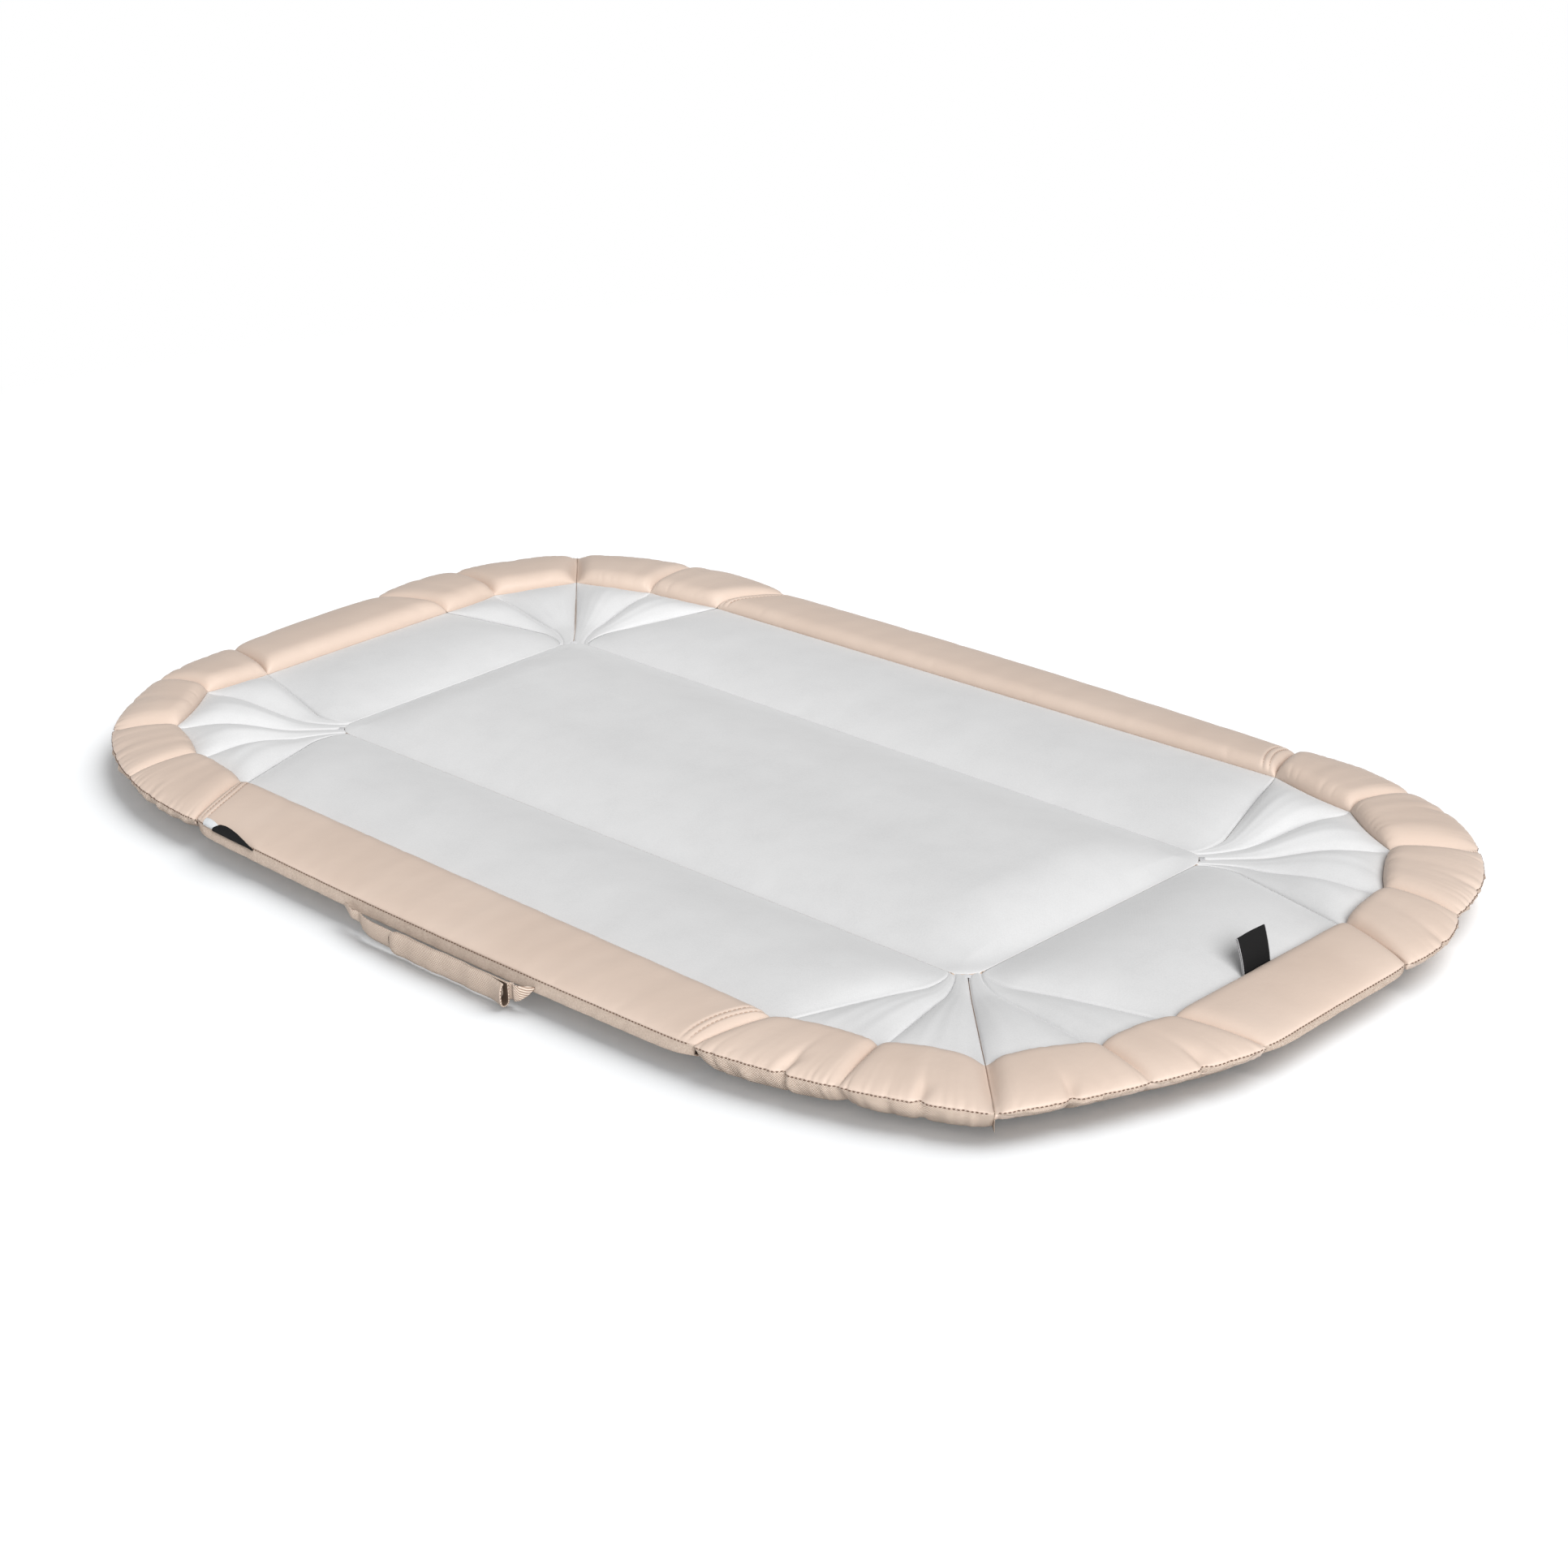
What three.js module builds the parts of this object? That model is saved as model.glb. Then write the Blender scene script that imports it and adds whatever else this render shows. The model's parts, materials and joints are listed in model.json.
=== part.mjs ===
import * as THREE from 'three';

// Plan of one quarter of the open mat, in mm. +X runs towards the foot end, +Y towards the far side.
const padHalfLength = 302;
const padHalfWidth = 112;
const foldAngles = [-19.5, 14.5, 47.8, 80.0, 103.5];
const whiteReach = 131;
const rimReach = 191;
const whiteRadiusShares = [0.969, 0.84, 0.885, 0.931, 1];
const rimRadiusShares = [0.911, 0.838, 0.89, 0.911, 1];
const longRimBow = 7;
const endRimBow = 7;

// Heights above the floor
const tuftSeamHeight = 17;
const seamRiseShare = 0.026;
const outerSeamHeight = 18.5;
const coverThickness = 1.2;
const coreTopHeight = 10;
const layerGap = 0.3;
const seamGap = 0.4;
const foldBevelShare = 0.25;

// Puffs of the white and the beige cloth
const wedgeCrown = 9;
const wedgeSoftness = 11;
const wallCrown = 9;
const wallGrooveSoftness = 30;
const wallSeamSoftness = 15;
const wallEndSoftness = 12;
const borderCrown = 9;
const borderSoftness = 9;
const rimSoftness = 6;
const rimLip = 1.5;
const fanTipRadius = 14;

// Underside of the rim, lifted off the floor
const rimLift = 12;
const cornerLiftReach = 30;
const wallLiftReach = 42;
const bandThickness = 1.5;
const bandShoulder = 0.5;
const coreRimSetback = 5;

// Middle pad
const padCornerRadius = 28;
const padCornerTightenShare = 0.8;
const padCornerLeastShare = 0.25;
const padTopHeight = 34;
const padDomeReach = 82;
const padDomeStepShares = [0, 0.06, 0.14, 0.24, 0.36, 0.5, 0.66, 0.83, 1];
const padHem = 2;
const padCoreTop = 18.1;
const padCoreRoll = 14;
const padCoreShares = [[0.57, 0], [0.29, 0.21], [0.21, 0.45], [0.386, 0.753], [1.014, 1]];
const padCornerSteps = 5;
const padSideSteps = 7;

// Stitched tufts
const tackStemRadius = 1.8;
const tackHeadRadius = 3.8;
const tackHeadBottom = 13.6;
const tackTop = 17.4;
const tackInset = 5.2;
const tackSides = 10;
const tackShoulderShare = 0.4;
const tackCapShare = 0.55;

// Carry handle, a strap folded double that leans out from under the rim
const handleStart = -75;
const handleEnd = 105;
const handleReach = 9;
const handleBendReach = 26;
const strapThickness = 3;
const strapHeight = 15;
const strapEndHeight = 3;
const strapNibShare = 0.2;
const strapRootHeight = 13.5;
const strapRestHeight = 0.5;
const handleRootGap = 0.4;
const handleSteps = 6;
const strapSectionShares = [
  [-0.5, 0.15], [-0.25, 0], [0.25, 0], [0.5, 0.15], [0.5, 0.85], [0.25, 1], [-0.25, 1], [-0.5, 0.85],
];

// Tab and labels
const tabWidth = 25;
const tabHeight = 24;
const tabThickness = 1;
const tabCentre = -0.5;
const tabLean = 1.5;
const tabColumnShares = [-0.5, 0, 0.5];
const tabRowShares = [0, 0.5, 1];
const tabSeamClearance = 1.2;
const sideLabelStart = -232;
const sideLabelWidth = 45;
const sideLabelBottom = 15.5;
const sideLabelTop = 27;
const labelThickness = 0.9;
const sideLabelBulge = 2;
const careLabelStart = -240;
const careLabelWidth = 26;

// Sample places along the grids
const pairShares = [0, 0.08, 0.2, 0.32, 0.44, 0.51, 0.58, 0.69, 0.81, 0.93, 1];
const wedgeRowShares = [0, 0.14, 0.36, 0.62, 0.83, 0.94, 1];
const borderRowShares = [0, 0.12, 0.35, 0.62, 0.84, 0.94, 1];
const wallColumnShares = [0, 0.02, 0.06, 0.14, 0.28, 0.5, 0.72, 0.86, 0.94, 0.98, 1];
const wallRowShares = [0, 0.07, 0.2, 0.45, 0.72, 0.9, 1];
const liftShares = [1, 0.72, 0.44];
const coverColumnShares = [0, 0.17, 0.34, 0.51, 0.67, 0.84, 1];
const labelShares = [0, 0.2, 0.4, 0.6, 0.8, 1];

const material = (name, color, roughness) => {
  const made = new THREE.MeshStandardMaterial({ color, roughness });
  made.name = name;
  return made;
};
const jersey = material('white_jersey', 0xe6e6e6, 0.95);
const rimCloth = material('beige_rim_cloth', 0xdccabb, 0.8);
const twill = material('beige_twill', 0xb79f8b, 0.9);
const foam = material('foam', 0xf3efe2, 0.9);
const wadding = material('wadding', 0xf5f5f2, 1);
const thread = material('white_thread', 0xf0f0f0, 0.9);
const blackWeave = material('black_woven_label', 0x141414, 0.7);
const paleWeave = material('pale_woven_label', 0xe9e9e6, 0.8);

const group = new THREE.Group();
group.name = 'infant_lounger';

const mix = (a, b, share) => a + (b - a) * share;
const radians = (degrees) => degrees * Math.PI / 180;
const degrees = (angle) => angle * 180 / Math.PI;

function addMesh(name, points, faces, surface) {
  const volume = faces.reduce((sum, [a, b, c]) => {
    const [p, q, r] = [points[a], points[b], points[c]];
    return sum + p[0] * (q[1] * r[2] - q[2] * r[1])
      + p[1] * (q[2] * r[0] - q[0] * r[2]) + p[2] * (q[0] * r[1] - q[1] * r[0]);
  }, 0);
  const facing = volume > 0 ? faces : faces.map(([a, b, c]) => [a, c, b]);
  const geometry = new THREE.BufferGeometry();
  geometry.setAttribute('position', new THREE.Float32BufferAttribute(points.flat(), 3));
  geometry.setIndex(facing.flat());
  geometry.computeVertexNormals();
  const mesh = new THREE.Mesh(geometry, surface);
  mesh.name = name;
  group.add(mesh);
}

// A closed body between two grids of points that share their outline count.
function gridSolid(name, top, bottom, surface) {
  const columns = top.length;
  const rows = top[0].length;
  const points = [...top.flat(), ...bottom.flat()];
  const at = (i, j, layer) => layer * columns * rows + i * rows + j;
  const faces = [];
  for (let i = 0; i + 1 < columns; i += 1) {
    for (let j = 0; j + 1 < rows; j += 1) {
      faces.push([at(i, j, 0), at(i + 1, j, 0), at(i + 1, j + 1, 0)], [at(i, j, 0), at(i + 1, j + 1, 0), at(i, j + 1, 0)]);
      faces.push([at(i, j, 1), at(i + 1, j + 1, 1), at(i + 1, j, 1)], [at(i, j, 1), at(i, j + 1, 1), at(i + 1, j + 1, 1)]);
    }
  }
  const outline = [];
  for (let i = 0; i + 1 < columns; i += 1) outline.push([i, 0]);
  for (let j = 0; j + 1 < rows; j += 1) outline.push([columns - 1, j]);
  for (let i = columns - 1; i > 0; i -= 1) outline.push([i, rows - 1]);
  for (let j = rows - 1; j > 0; j -= 1) outline.push([0, j]);
  outline.forEach(([i, j], index) => {
    const [k, l] = outline[(index + 1) % outline.length];
    faces.push([at(i, j, 1), at(k, l, 1), at(k, l, 0)], [at(i, j, 1), at(k, l, 0), at(i, j, 0)]);
  });
  addMesh(name, points, faces, surface);
}

// A closed body through rings of points, closed at both ends round the rings' middles.
function ringSolid(name, rings, surface) {
  const count = rings[0].length;
  const points = rings.flat();
  const faces = [];
  for (let i = 0; i + 1 < rings.length; i += 1) {
    for (let j = 0; j < count; j += 1) {
      const [a, b] = [i * count + j, i * count + (j + 1) % count];
      faces.push([a, b, b + count], [a, b + count, a + count]);
    }
  }
  for (const [ring, start, turned] of [[rings[0], 0, true], [rings.at(-1), (rings.length - 1) * count, false]]) {
    const middle = [0, 1, 2].map((axis) => ring.reduce((sum, point) => sum + point[axis], 0) / count);
    const hub = points.push(middle) - 1;
    for (let j = 0; j < count; j += 1) {
      const [a, b] = [start + j, start + (j + 1) % count];
      faces.push(turned ? [hub, b, a] : [hub, a, b]);
    }
  }
  addMesh(name, points, faces, surface);
}

const seamHeight = (radius) => tuftSeamHeight + seamRiseShare * radius;
const soft = (distance, reach) => 1 - Math.exp(-Math.max(distance, 0) / reach);
const liftAt = (fromRim, reach) => rimLift * Math.max(1 - fromRim / reach, 0) ** 2;

// Radius of a seam line at an angle, read between the listed fold angles.
function radiusAt(reach, shares, angle) {
  const last = foldAngles.length - 2;
  const found = foldAngles.findIndex((value, index) => index <= last && angle <= foldAngles[index + 1]);
  const index = found < 0 ? last : found;
  const share = (angle - foldAngles[index]) / (foldAngles[index + 1] - foldAngles[index]);
  return reach * mix(shares[index], shares[index + 1], Math.min(Math.max(share, 0), 1));
}

// Point of a half corner: share across it, radius from the tuft and height.
function fanPlace(half, share, radius, height) {
  const [first, , last] = half.folds.map((index) => foldAngles[index]);
  const slope = Math.max(seamHeight(radius) - height, 0) * foldBevelShare;
  const inset = (onWall) => degrees(Math.asin((seamGap / 2 + (onWall ? slope : 0)) / radius));
  const angle = mix(first + inset(half.wallFirst), last - inset(!half.wallFirst), share);
  return { angle, x: radius * Math.sin(radians(angle)), y: radius * Math.cos(radians(angle)) };
}

function fanPuff(half, angle, radius, reach) {
  return half.folds.reduce((product, index) => {
    const away = radius * Math.abs(Math.sin(radians(angle - foldAngles[index])));
    return product * soft(away, reach);
  }, 1);
}

function fanSolid(name, corner, half, shares, rows, levels, surface) {
  const layer = (level) => shares.map((share) => rows.map((row) => {
    const guess = fanPlace(half, share, mix(...levels.span(foldAngles[half.folds[1]]), row), coreTopHeight);
    const radius = mix(...levels.span(guess.angle), row) - (levels.step ? levels.step(row) : 0);
    const height = level(radius, guess.angle, row);
    const place = fanPlace(half, share, radius, height);
    return [corner.alongX * (padHalfLength + place.x), corner.alongY * (padHalfWidth + place.y), height];
  }));
  gridSolid(name, layer(levels.top), layer(levels.bottom), surface);
}

function buildHalfCorner(corner, half) {
  const name = `corner_${corner.name}_${half.name}`;
  const white = (angle) => radiusAt(whiteReach, whiteRadiusShares, angle);
  const rim = (angle) => radiusAt(rimReach, rimRadiusShares, angle);
  fanSolid(`${name}_gusset`, corner, half, pairShares, wedgeRowShares, {
    span: (angle) => [fanTipRadius, white(angle) - seamGap / 2],
    top: (radius, angle) => seamHeight(radius) + wedgeCrown * fanPuff(half, angle, radius, wedgeSoftness)
      * soft(white(angle) - radius, wedgeSoftness) * soft(radius - fanTipRadius, wedgeSoftness),
    bottom: () => coreTopHeight + layerGap,
  }, jersey);
  const lipBottom = outerSeamHeight + layerGap / 2;
  fanSolid(`${name}_border`, corner, half, pairShares, borderRowShares, {
    span: (angle) => [white(angle) + seamGap / 2, rim(angle)],
    top: (radius, angle) => {
      const share = (radius - white(angle)) / (rim(angle) - white(angle));
      const edge = mix(seamHeight(white(angle)), outerSeamHeight + rimLip, share);
      return edge + borderCrown * fanPuff(half, angle, radius, borderSoftness)
        * soft(radius - white(angle), borderSoftness) * soft(rim(angle) - radius, rimSoftness);
    },
    bottom: (radius, angle, row) => (row < borderRowShares.at(-2) ? coreTopHeight + layerGap : lipBottom),
  }, rimCloth);
  const inner = [fanTipRadius, ...liftShares.map((share) => share * cornerLiftReach), coreRimSetback];
  const underLayer = (steps, level) => coverColumnShares.map((share) => steps.map((step, index) => {
    const guess = fanPlace(half, share, white(foldAngles[half.folds[1]]), coverThickness);
    const radius = index ? rim(guess.angle) - step : step;
    const height = level(step, index ? liftAt(step, cornerLiftReach) : 0);
    const point = fanPlace(half, share, radius, Math.min(height, coreTopHeight));
    return [corner.alongX * (padHalfLength + point.x), corner.alongY * (padHalfWidth + point.y), height];
  }));
  gridSolid(`${name}_core`, underLayer(inner, () => coreTopHeight),
    underLayer(inner, (step, lift) => lift + coverThickness + layerGap), wadding);
  const outer = [...inner, bandThickness + bandShoulder, bandThickness, 0];
  const isBand = (step) => step <= bandThickness;
  gridSolid(`${name}_cover`, underLayer(outer, (step, lift) => (isBand(step)
    ? outerSeamHeight - layerGap / 2 : lift + coverThickness)), underLayer(outer, (step, lift) => lift), twill);
}

// Point of a wall: share along it, distance out from the pad's seam and height, in the wall's own plan.
function wallPlace(wall, share, out, height) {
  const seam = Math.abs(wall.slantShare);
  const bevel = Math.max(seamHeight(out) - height, 0) * foldBevelShare + seamGap / 2;
  const half = wall.halfLength - out * seam - bevel;
  return [mix(-half, half, share), out];
}

function wallSolid(name, wall, shares, rows, levels, surface) {
  const layer = (level) => shares.map((share) => rows.map((row) => {
    const bow = wall.bow * Math.sin(Math.PI * share);
    const out = levels.out(row, bow);
    const height = level(out, share, row, bow);
    const [along, away] = wallPlace(wall, share, out, height);
    return wall.turn(along, away, height);
  }));
  gridSolid(name, layer(levels.top), layer(levels.bottom), surface);
}

function buildWall(wall) {
  const ends = (share, out) => {
    const half = wall.halfLength - out * wall.slantShare;
    return Math.min(share, 1 - share) * 2 * half;
  };
  const panelStart = seamGap / 2;
  const panelEnd = wall.white - seamGap / 2;
  wallSolid(`${wall.name}_top_panel`, wall, wallColumnShares, wallRowShares, {
    out: (row) => mix(panelStart, panelEnd, row),
    top: (out, share) => seamHeight(out) + wallCrown * soft(out, wallGrooveSoftness)
      * soft(wall.white - out, wallSeamSoftness) * soft(ends(share, out), wallEndSoftness),
    bottom: () => coreTopHeight + layerGap,
  }, jersey);
  const lipBottom = outerSeamHeight + layerGap / 2;
  wallSolid(`${wall.name}_border`, wall, wallColumnShares, borderRowShares, {
    out: (row, bow) => mix(wall.white + seamGap / 2, wall.rim + bow, row),
    top: (out, share, row, bow) => {
      const across = (out - wall.white) / (wall.rim + bow - wall.white);
      const edge = mix(seamHeight(wall.white), outerSeamHeight + rimLip, across);
      return edge + borderCrown * soft(out - wall.white, borderSoftness)
        * soft(wall.rim + bow - out, rimSoftness) * soft(ends(share, out), borderSoftness);
    },
    bottom: (out, share, row) => (row < borderRowShares.at(-2) ? coreTopHeight + layerGap : lipBottom),
  }, rimCloth);
  const inner = [null, ...liftShares.map((share) => share * wallLiftReach), coreRimSetback];
  const outer = [...inner, bandThickness + bandShoulder, bandThickness, 0];
  const out = (step, bow) => (step === null ? panelStart : wall.rim + bow - step);
  const lift = (step) => (step === null ? 0 : liftAt(step, wallLiftReach));
  wallSolid(`${wall.name}_foam_core`, wall, coverColumnShares, inner, {
    out, top: () => coreTopHeight, bottom: (away, share, step) => lift(step) + coverThickness + layerGap,
  }, foam);
  wallSolid(`${wall.name}_outer_cover`, wall, coverColumnShares, outer, {
    out,
    top: (away, share, step) => (step !== null && step <= bandThickness
      ? outerSeamHeight - layerGap / 2 : lift(step) + coverThickness),
    bottom: (away, share, step) => lift(step),
  }, twill);
}

// Rings of a rounded rectangle, set in from the pad's edge.
function padRings(profile) {
  return profile.map(([inset, height]) => {
    const halfX = padHalfLength - seamGap / 2 - inset;
    const halfY = padHalfWidth - seamGap / 2 - inset;
    const radius = Math.max(padCornerRadius - inset * padCornerTightenShare,
      Math.min(halfY, padCornerRadius) * padCornerLeastShare);
    const ring = [];
    for (let quarter = 0; quarter < 4; quarter += 1) {
      const signX = quarter === 0 || quarter === 3 ? 1 : -1;
      const signY = quarter < 2 ? 1 : -1;
      for (let step = 0; step <= padCornerSteps; step += 1) {
        const angle = (quarter + step / padCornerSteps) * Math.PI / 2;
        ring.push([signX * (halfX - radius) + radius * Math.cos(angle),
          signY * (halfY - radius) + radius * Math.sin(angle), height]);
      }
      if (quarter % 2 === 0) {
        for (let step = 1; step < padSideSteps; step += 1) {
          const share = step / padSideSteps;
          ring.push([mix(signX, -signX, share) * (halfX - radius), signY * halfY, height]);
        }
      }
    }
    return ring;
  });
}

function buildTack(name, alongX, alongY) {
  const levels = [
    [tackStemRadius, coverThickness + layerGap], [tackStemRadius, tackHeadBottom],
    [tackHeadRadius, mix(tackHeadBottom, tackTop, tackShoulderShare)], [tackHeadRadius * tackCapShare, tackTop],
  ];
  const rings = levels.map(([radius, height]) => Array.from({ length: tackSides }, (_, index) => {
    const angle = 2 * Math.PI * index / tackSides;
    return [alongX * (padHalfLength - tackInset) + radius * Math.cos(angle),
      alongY * (padHalfWidth - tackInset) + radius * Math.sin(angle), height];
  }));
  ringSolid(name, rings, thread);
}

// How far out a long side's rim lies at a place along it.
const longSlant = -Math.tan(radians(foldAngles[0]));
const longDepth = (radius) => radius * Math.cos(radians(foldAngles[0]));
const longRim = longDepth(rimReach * rimRadiusShares[0]);
const longRimHalf = padHalfLength - longRim * longSlant;
const longRimAt = (along) => padHalfWidth + longRim
  + longRimBow * Math.sin(Math.PI * (along + longRimHalf) / (2 * longRimHalf));

// Strap path out from the rim and back, with its root lifted and its middle resting on the floor.
function buildHandle(name, side) {
  const root = Math.max(longRimAt(handleStart), longRimAt(handleEnd));
  const bend = [[0, -strapThickness / 2, 0]];
  for (let step = 0; step <= handleSteps; step += 1) {
    const angle = Math.PI / 2 * step / handleSteps;
    bend.push([handleBendReach * (1 - Math.cos(angle)), handleReach * Math.sin(angle), step / handleSteps]);
  }
  const path = [
    ...bend.map(([along, out, share]) => [handleStart + along, root + out, share]),
    ...bend.reverse().map(([along, out, share]) => [handleEnd - along, root + out, share]),
  ];
  const rings = path.map(([along, out, share], index) => {
    const before = path[Math.max(index - 1, 0)];
    const after = path[Math.min(index + 1, path.length - 1)];
    const heading = Math.atan2(after[1] - before[1], after[0] - before[0]);
    const [normalX, normalY] = [-Math.sin(heading), Math.cos(heading)];
    const base = mix(strapRootHeight, strapRestHeight, share);
    const isNib = index === 0 || index === path.length - 1;
    const height = isNib ? strapEndHeight * strapNibShare : mix(strapEndHeight, strapHeight, share * share);
    const lift = isNib ? (strapEndHeight - height) / 2 : 0;
    return strapSectionShares.map(([across, up]) => [
      along + normalX * across * strapThickness,
      side * (handleRootGap + strapThickness / 2 + out + normalY * across * strapThickness),
      base + lift + up * height,
    ]);
  });
  ringSolid(name, rings, twill);
}

function labelSolid(name, start, width, bulge, gap, surface) {
  const layer = (extra) => labelShares.map((share) => labelShares.map((rise) => {
    const along = start + width * share;
    const out = longRimAt(along) + gap + bulge * Math.sin(Math.PI * share) * (1 - rise * rise) + extra;
    return [along, -out, mix(sideLabelBottom, sideLabelTop, rise)];
  }));
  gridSolid(name, layer(labelThickness), layer(0), surface);
}

const coverTop = coverThickness + layerGap;
const padCore = padCoreShares.map(([inset, rise]) => [padCoreRoll * inset, mix(coverTop, padCoreTop, rise)]);
const padUnder = padCore.slice(-2).reverse().map(([inset, height]) => [inset - layerGap, height + layerGap]);
const padDome = padDomeStepShares.map((step) => [
  padDomeReach * step, mix(tuftSeamHeight, padTopHeight, 1 - (1 - step) ** 2),
]);
ringSolid('centre_top_panel', padRings([...padUnder, [padHem, padUnder.at(-1)[1]], ...padDome]), jersey);
ringSolid('centre_foam_core', padRings(padCore), foam);
const baseHalfX = padHalfLength - seamGap / 2;
const baseHalfY = padHalfWidth - seamGap / 2;
const baseGrid = (height) => [-1, 0, 1].map((i) => [-1, 0, 1].map((j) => [i * baseHalfX, j * baseHalfY, height]));
gridSolid('centre_base_cover', baseGrid(coverThickness), baseGrid(0), twill);

const corners = [
  { name: 'foot_far', alongX: 1, alongY: 1 }, { name: 'head_far', alongX: -1, alongY: 1 },
  { name: 'head_near', alongX: -1, alongY: -1 }, { name: 'foot_near', alongX: 1, alongY: -1 },
];
const halves = [
  { name: 'long', folds: [0, 1, 2], wallFirst: true }, { name: 'end', folds: [2, 3, 4], wallFirst: false },
];
for (const corner of corners) {
  buildTack(`corner_tack_${corner.name}`, corner.alongX, corner.alongY);
  halves.forEach((half) => buildHalfCorner(corner, half));
}

// A wall narrows outwards along the corner's first or last fold.
const endSlant = Math.tan(radians(foldAngles[4] - 90));
const endDepth = (radius) => radius * Math.sin(radians(foldAngles[4]));
for (const [word, side] of [['near', -1], ['far', 1]]) {
  buildWall({
    name: `long_wall_${word}`, halfLength: padHalfLength, slantShare: longSlant, bow: longRimBow,
    white: longDepth(whiteReach * whiteRadiusShares[0]), rim: longRim,
    turn: (along, away, height) => [along, side * (padHalfWidth + away), height],
  });
  buildHandle(`long_wall_${word}_handle`, side);
}
for (const [word, side] of [['head', -1], ['foot', 1]]) {
  buildWall({
    name: `end_wall_${word}`, halfLength: padHalfWidth, slantShare: endSlant, bow: endRimBow,
    white: endDepth(whiteReach * whiteRadiusShares[4]), rim: endDepth(rimReach * rimRadiusShares[4]),
    turn: (along, away, height) => [side * (padHalfLength + away), along, height],
  });
}

const tabAt = padHalfLength + endDepth(whiteReach * whiteRadiusShares[4]);
const tabFoot = seamHeight(endDepth(whiteReach * whiteRadiusShares[4])) + tabSeamClearance;
const tabLayer = (side) => tabColumnShares.map((share) => tabRowShares.map((rise) => [
  tabAt + side * tabThickness / 2 + tabLean * rise * rise, tabCentre + share * tabWidth, tabFoot + rise * tabHeight,
]));
gridSolid('foot_tab', tabLayer(1), tabLayer(-1), blackWeave);
labelSolid('care_label', careLabelStart, careLabelWidth, 0, layerGap, paleWeave);
labelSolid('side_label', sideLabelStart, sideLabelWidth, sideLabelBulge, layerGap * 2 + labelThickness, blackWeave);

export default group;
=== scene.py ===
import bpy
import json
import math
import numpy as np
from mathutils import Matrix, Vector

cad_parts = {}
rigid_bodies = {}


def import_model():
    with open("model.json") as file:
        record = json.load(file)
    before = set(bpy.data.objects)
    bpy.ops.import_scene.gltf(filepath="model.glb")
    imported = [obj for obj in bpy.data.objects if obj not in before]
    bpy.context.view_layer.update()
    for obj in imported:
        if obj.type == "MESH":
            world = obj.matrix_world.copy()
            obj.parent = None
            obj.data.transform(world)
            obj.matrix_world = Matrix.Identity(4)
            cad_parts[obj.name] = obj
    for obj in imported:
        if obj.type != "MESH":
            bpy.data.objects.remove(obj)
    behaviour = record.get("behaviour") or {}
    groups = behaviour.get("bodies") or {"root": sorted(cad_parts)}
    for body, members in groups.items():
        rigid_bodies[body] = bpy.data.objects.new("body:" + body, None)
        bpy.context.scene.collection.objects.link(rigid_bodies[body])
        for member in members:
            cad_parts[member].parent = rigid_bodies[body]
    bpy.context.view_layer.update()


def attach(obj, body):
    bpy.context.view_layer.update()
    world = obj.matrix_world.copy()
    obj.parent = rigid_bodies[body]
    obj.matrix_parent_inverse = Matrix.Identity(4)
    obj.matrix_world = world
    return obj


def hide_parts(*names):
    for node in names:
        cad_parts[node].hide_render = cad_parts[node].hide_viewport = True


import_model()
MM = 0.001

# Plan of the open mat in mm, the same values as in the part's source
PAD_L = 302.0
PAD_W = 112.0
TUFT_Z = 17.0
SEAM_RISE = 0.026
SEAM_Z = 18.5
COVER = 1.2
BEVEL = 0.25

# Gaps between two neighbouring cloths, and between the two halves of a corner
GAP = 0.06
FOLD_GAP = 0.5

# Directions of a corner's five folds in degrees, from its long side round to its end
ANGLES = [-19.5, 14.5, 47.8, 80.0, 103.5]
LONG_SLANT = math.tan(math.radians(-ANGLES[0]))
END_SLANT = math.tan(math.radians(ANGLES[4] - 90))

# Radii of the white seam and the sewn edge on the five folds, as each corner lies in the photograph
WHITE = {"foot_far": [129, 112, 113, 121, 132], "head_far": [116, 104, 118, 117, 118],
         "head_near": [115, 103, 114, 124, 120], "foot_near": [125, 104, 114, 122, 133]}
RIM = {"foot_far": [176, 162, 168, 170, 190], "head_far": [174, 166, 180, 184, 189],
       "head_near": [172, 153, 159, 174, 187], "foot_near": [177, 152, 168, 168, 193]}

# How far the white seam bows in and the sewn edge bows out between two folds, and along a side
WHITE_BOW = 2.2
CORNER_BOW = {"foot_near": 1.6, "head_near": 3.5, "foot_far": 7.0, "head_far": 6.5}
SIDE_BOW = {"long_wall_near": 4.5, "long_wall_far": 4.5, "end_wall_head": 3.0, "end_wall_foot": -1.0}

# Height at which the twill turns in under the rim; it hangs lowest beside the near side's ends
TURN = {"corner_foot_near_end": 12.4, "end_wall_foot": 15.2, "corner_foot_far_end": 12.5,
        "corner_foot_near_long": 5.6, "corner_head_near_long": 9.0, "long_wall_near": 11.2}
TURN_ELSEWHERE = 11.0

# Round corner of the pad, where the tuft draws in all that lies above LOW_CLOTH
TUFT_RADIUS = 16.0
TUFT_REACH = 30.0
LOW_CLOTH = COVER + 4

# The pad is one broad dome
PAD_RISE = 17.0
PAD_SIDE_REACH = 82.0
PAD_END_REACH = 60.0

# Height of the quilted sides and the wedges over their seams, their lean, and the wedges' sag at the side
WALL_CROWN = {"long_wall_near": 9.6, "long_wall_far": 9.0, "end_wall_head": 8.5, "end_wall_foot": 11.5}
WALL_LEAN = 0.85
WEDGE_CROWN = {"foot_near": 8.5, "head_near": 14.5, "foot_far": 14.0, "head_far": 13.0}
WEDGE_LEAN = {"foot_near": 0.9, "head_near": 1.6, "foot_far": 1.6, "head_far": 1.5}
WEDGE_SAG = {"foot_near": 0.4, "head_near": 2.6, "foot_far": 2.6, "head_far": 2.2}

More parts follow.
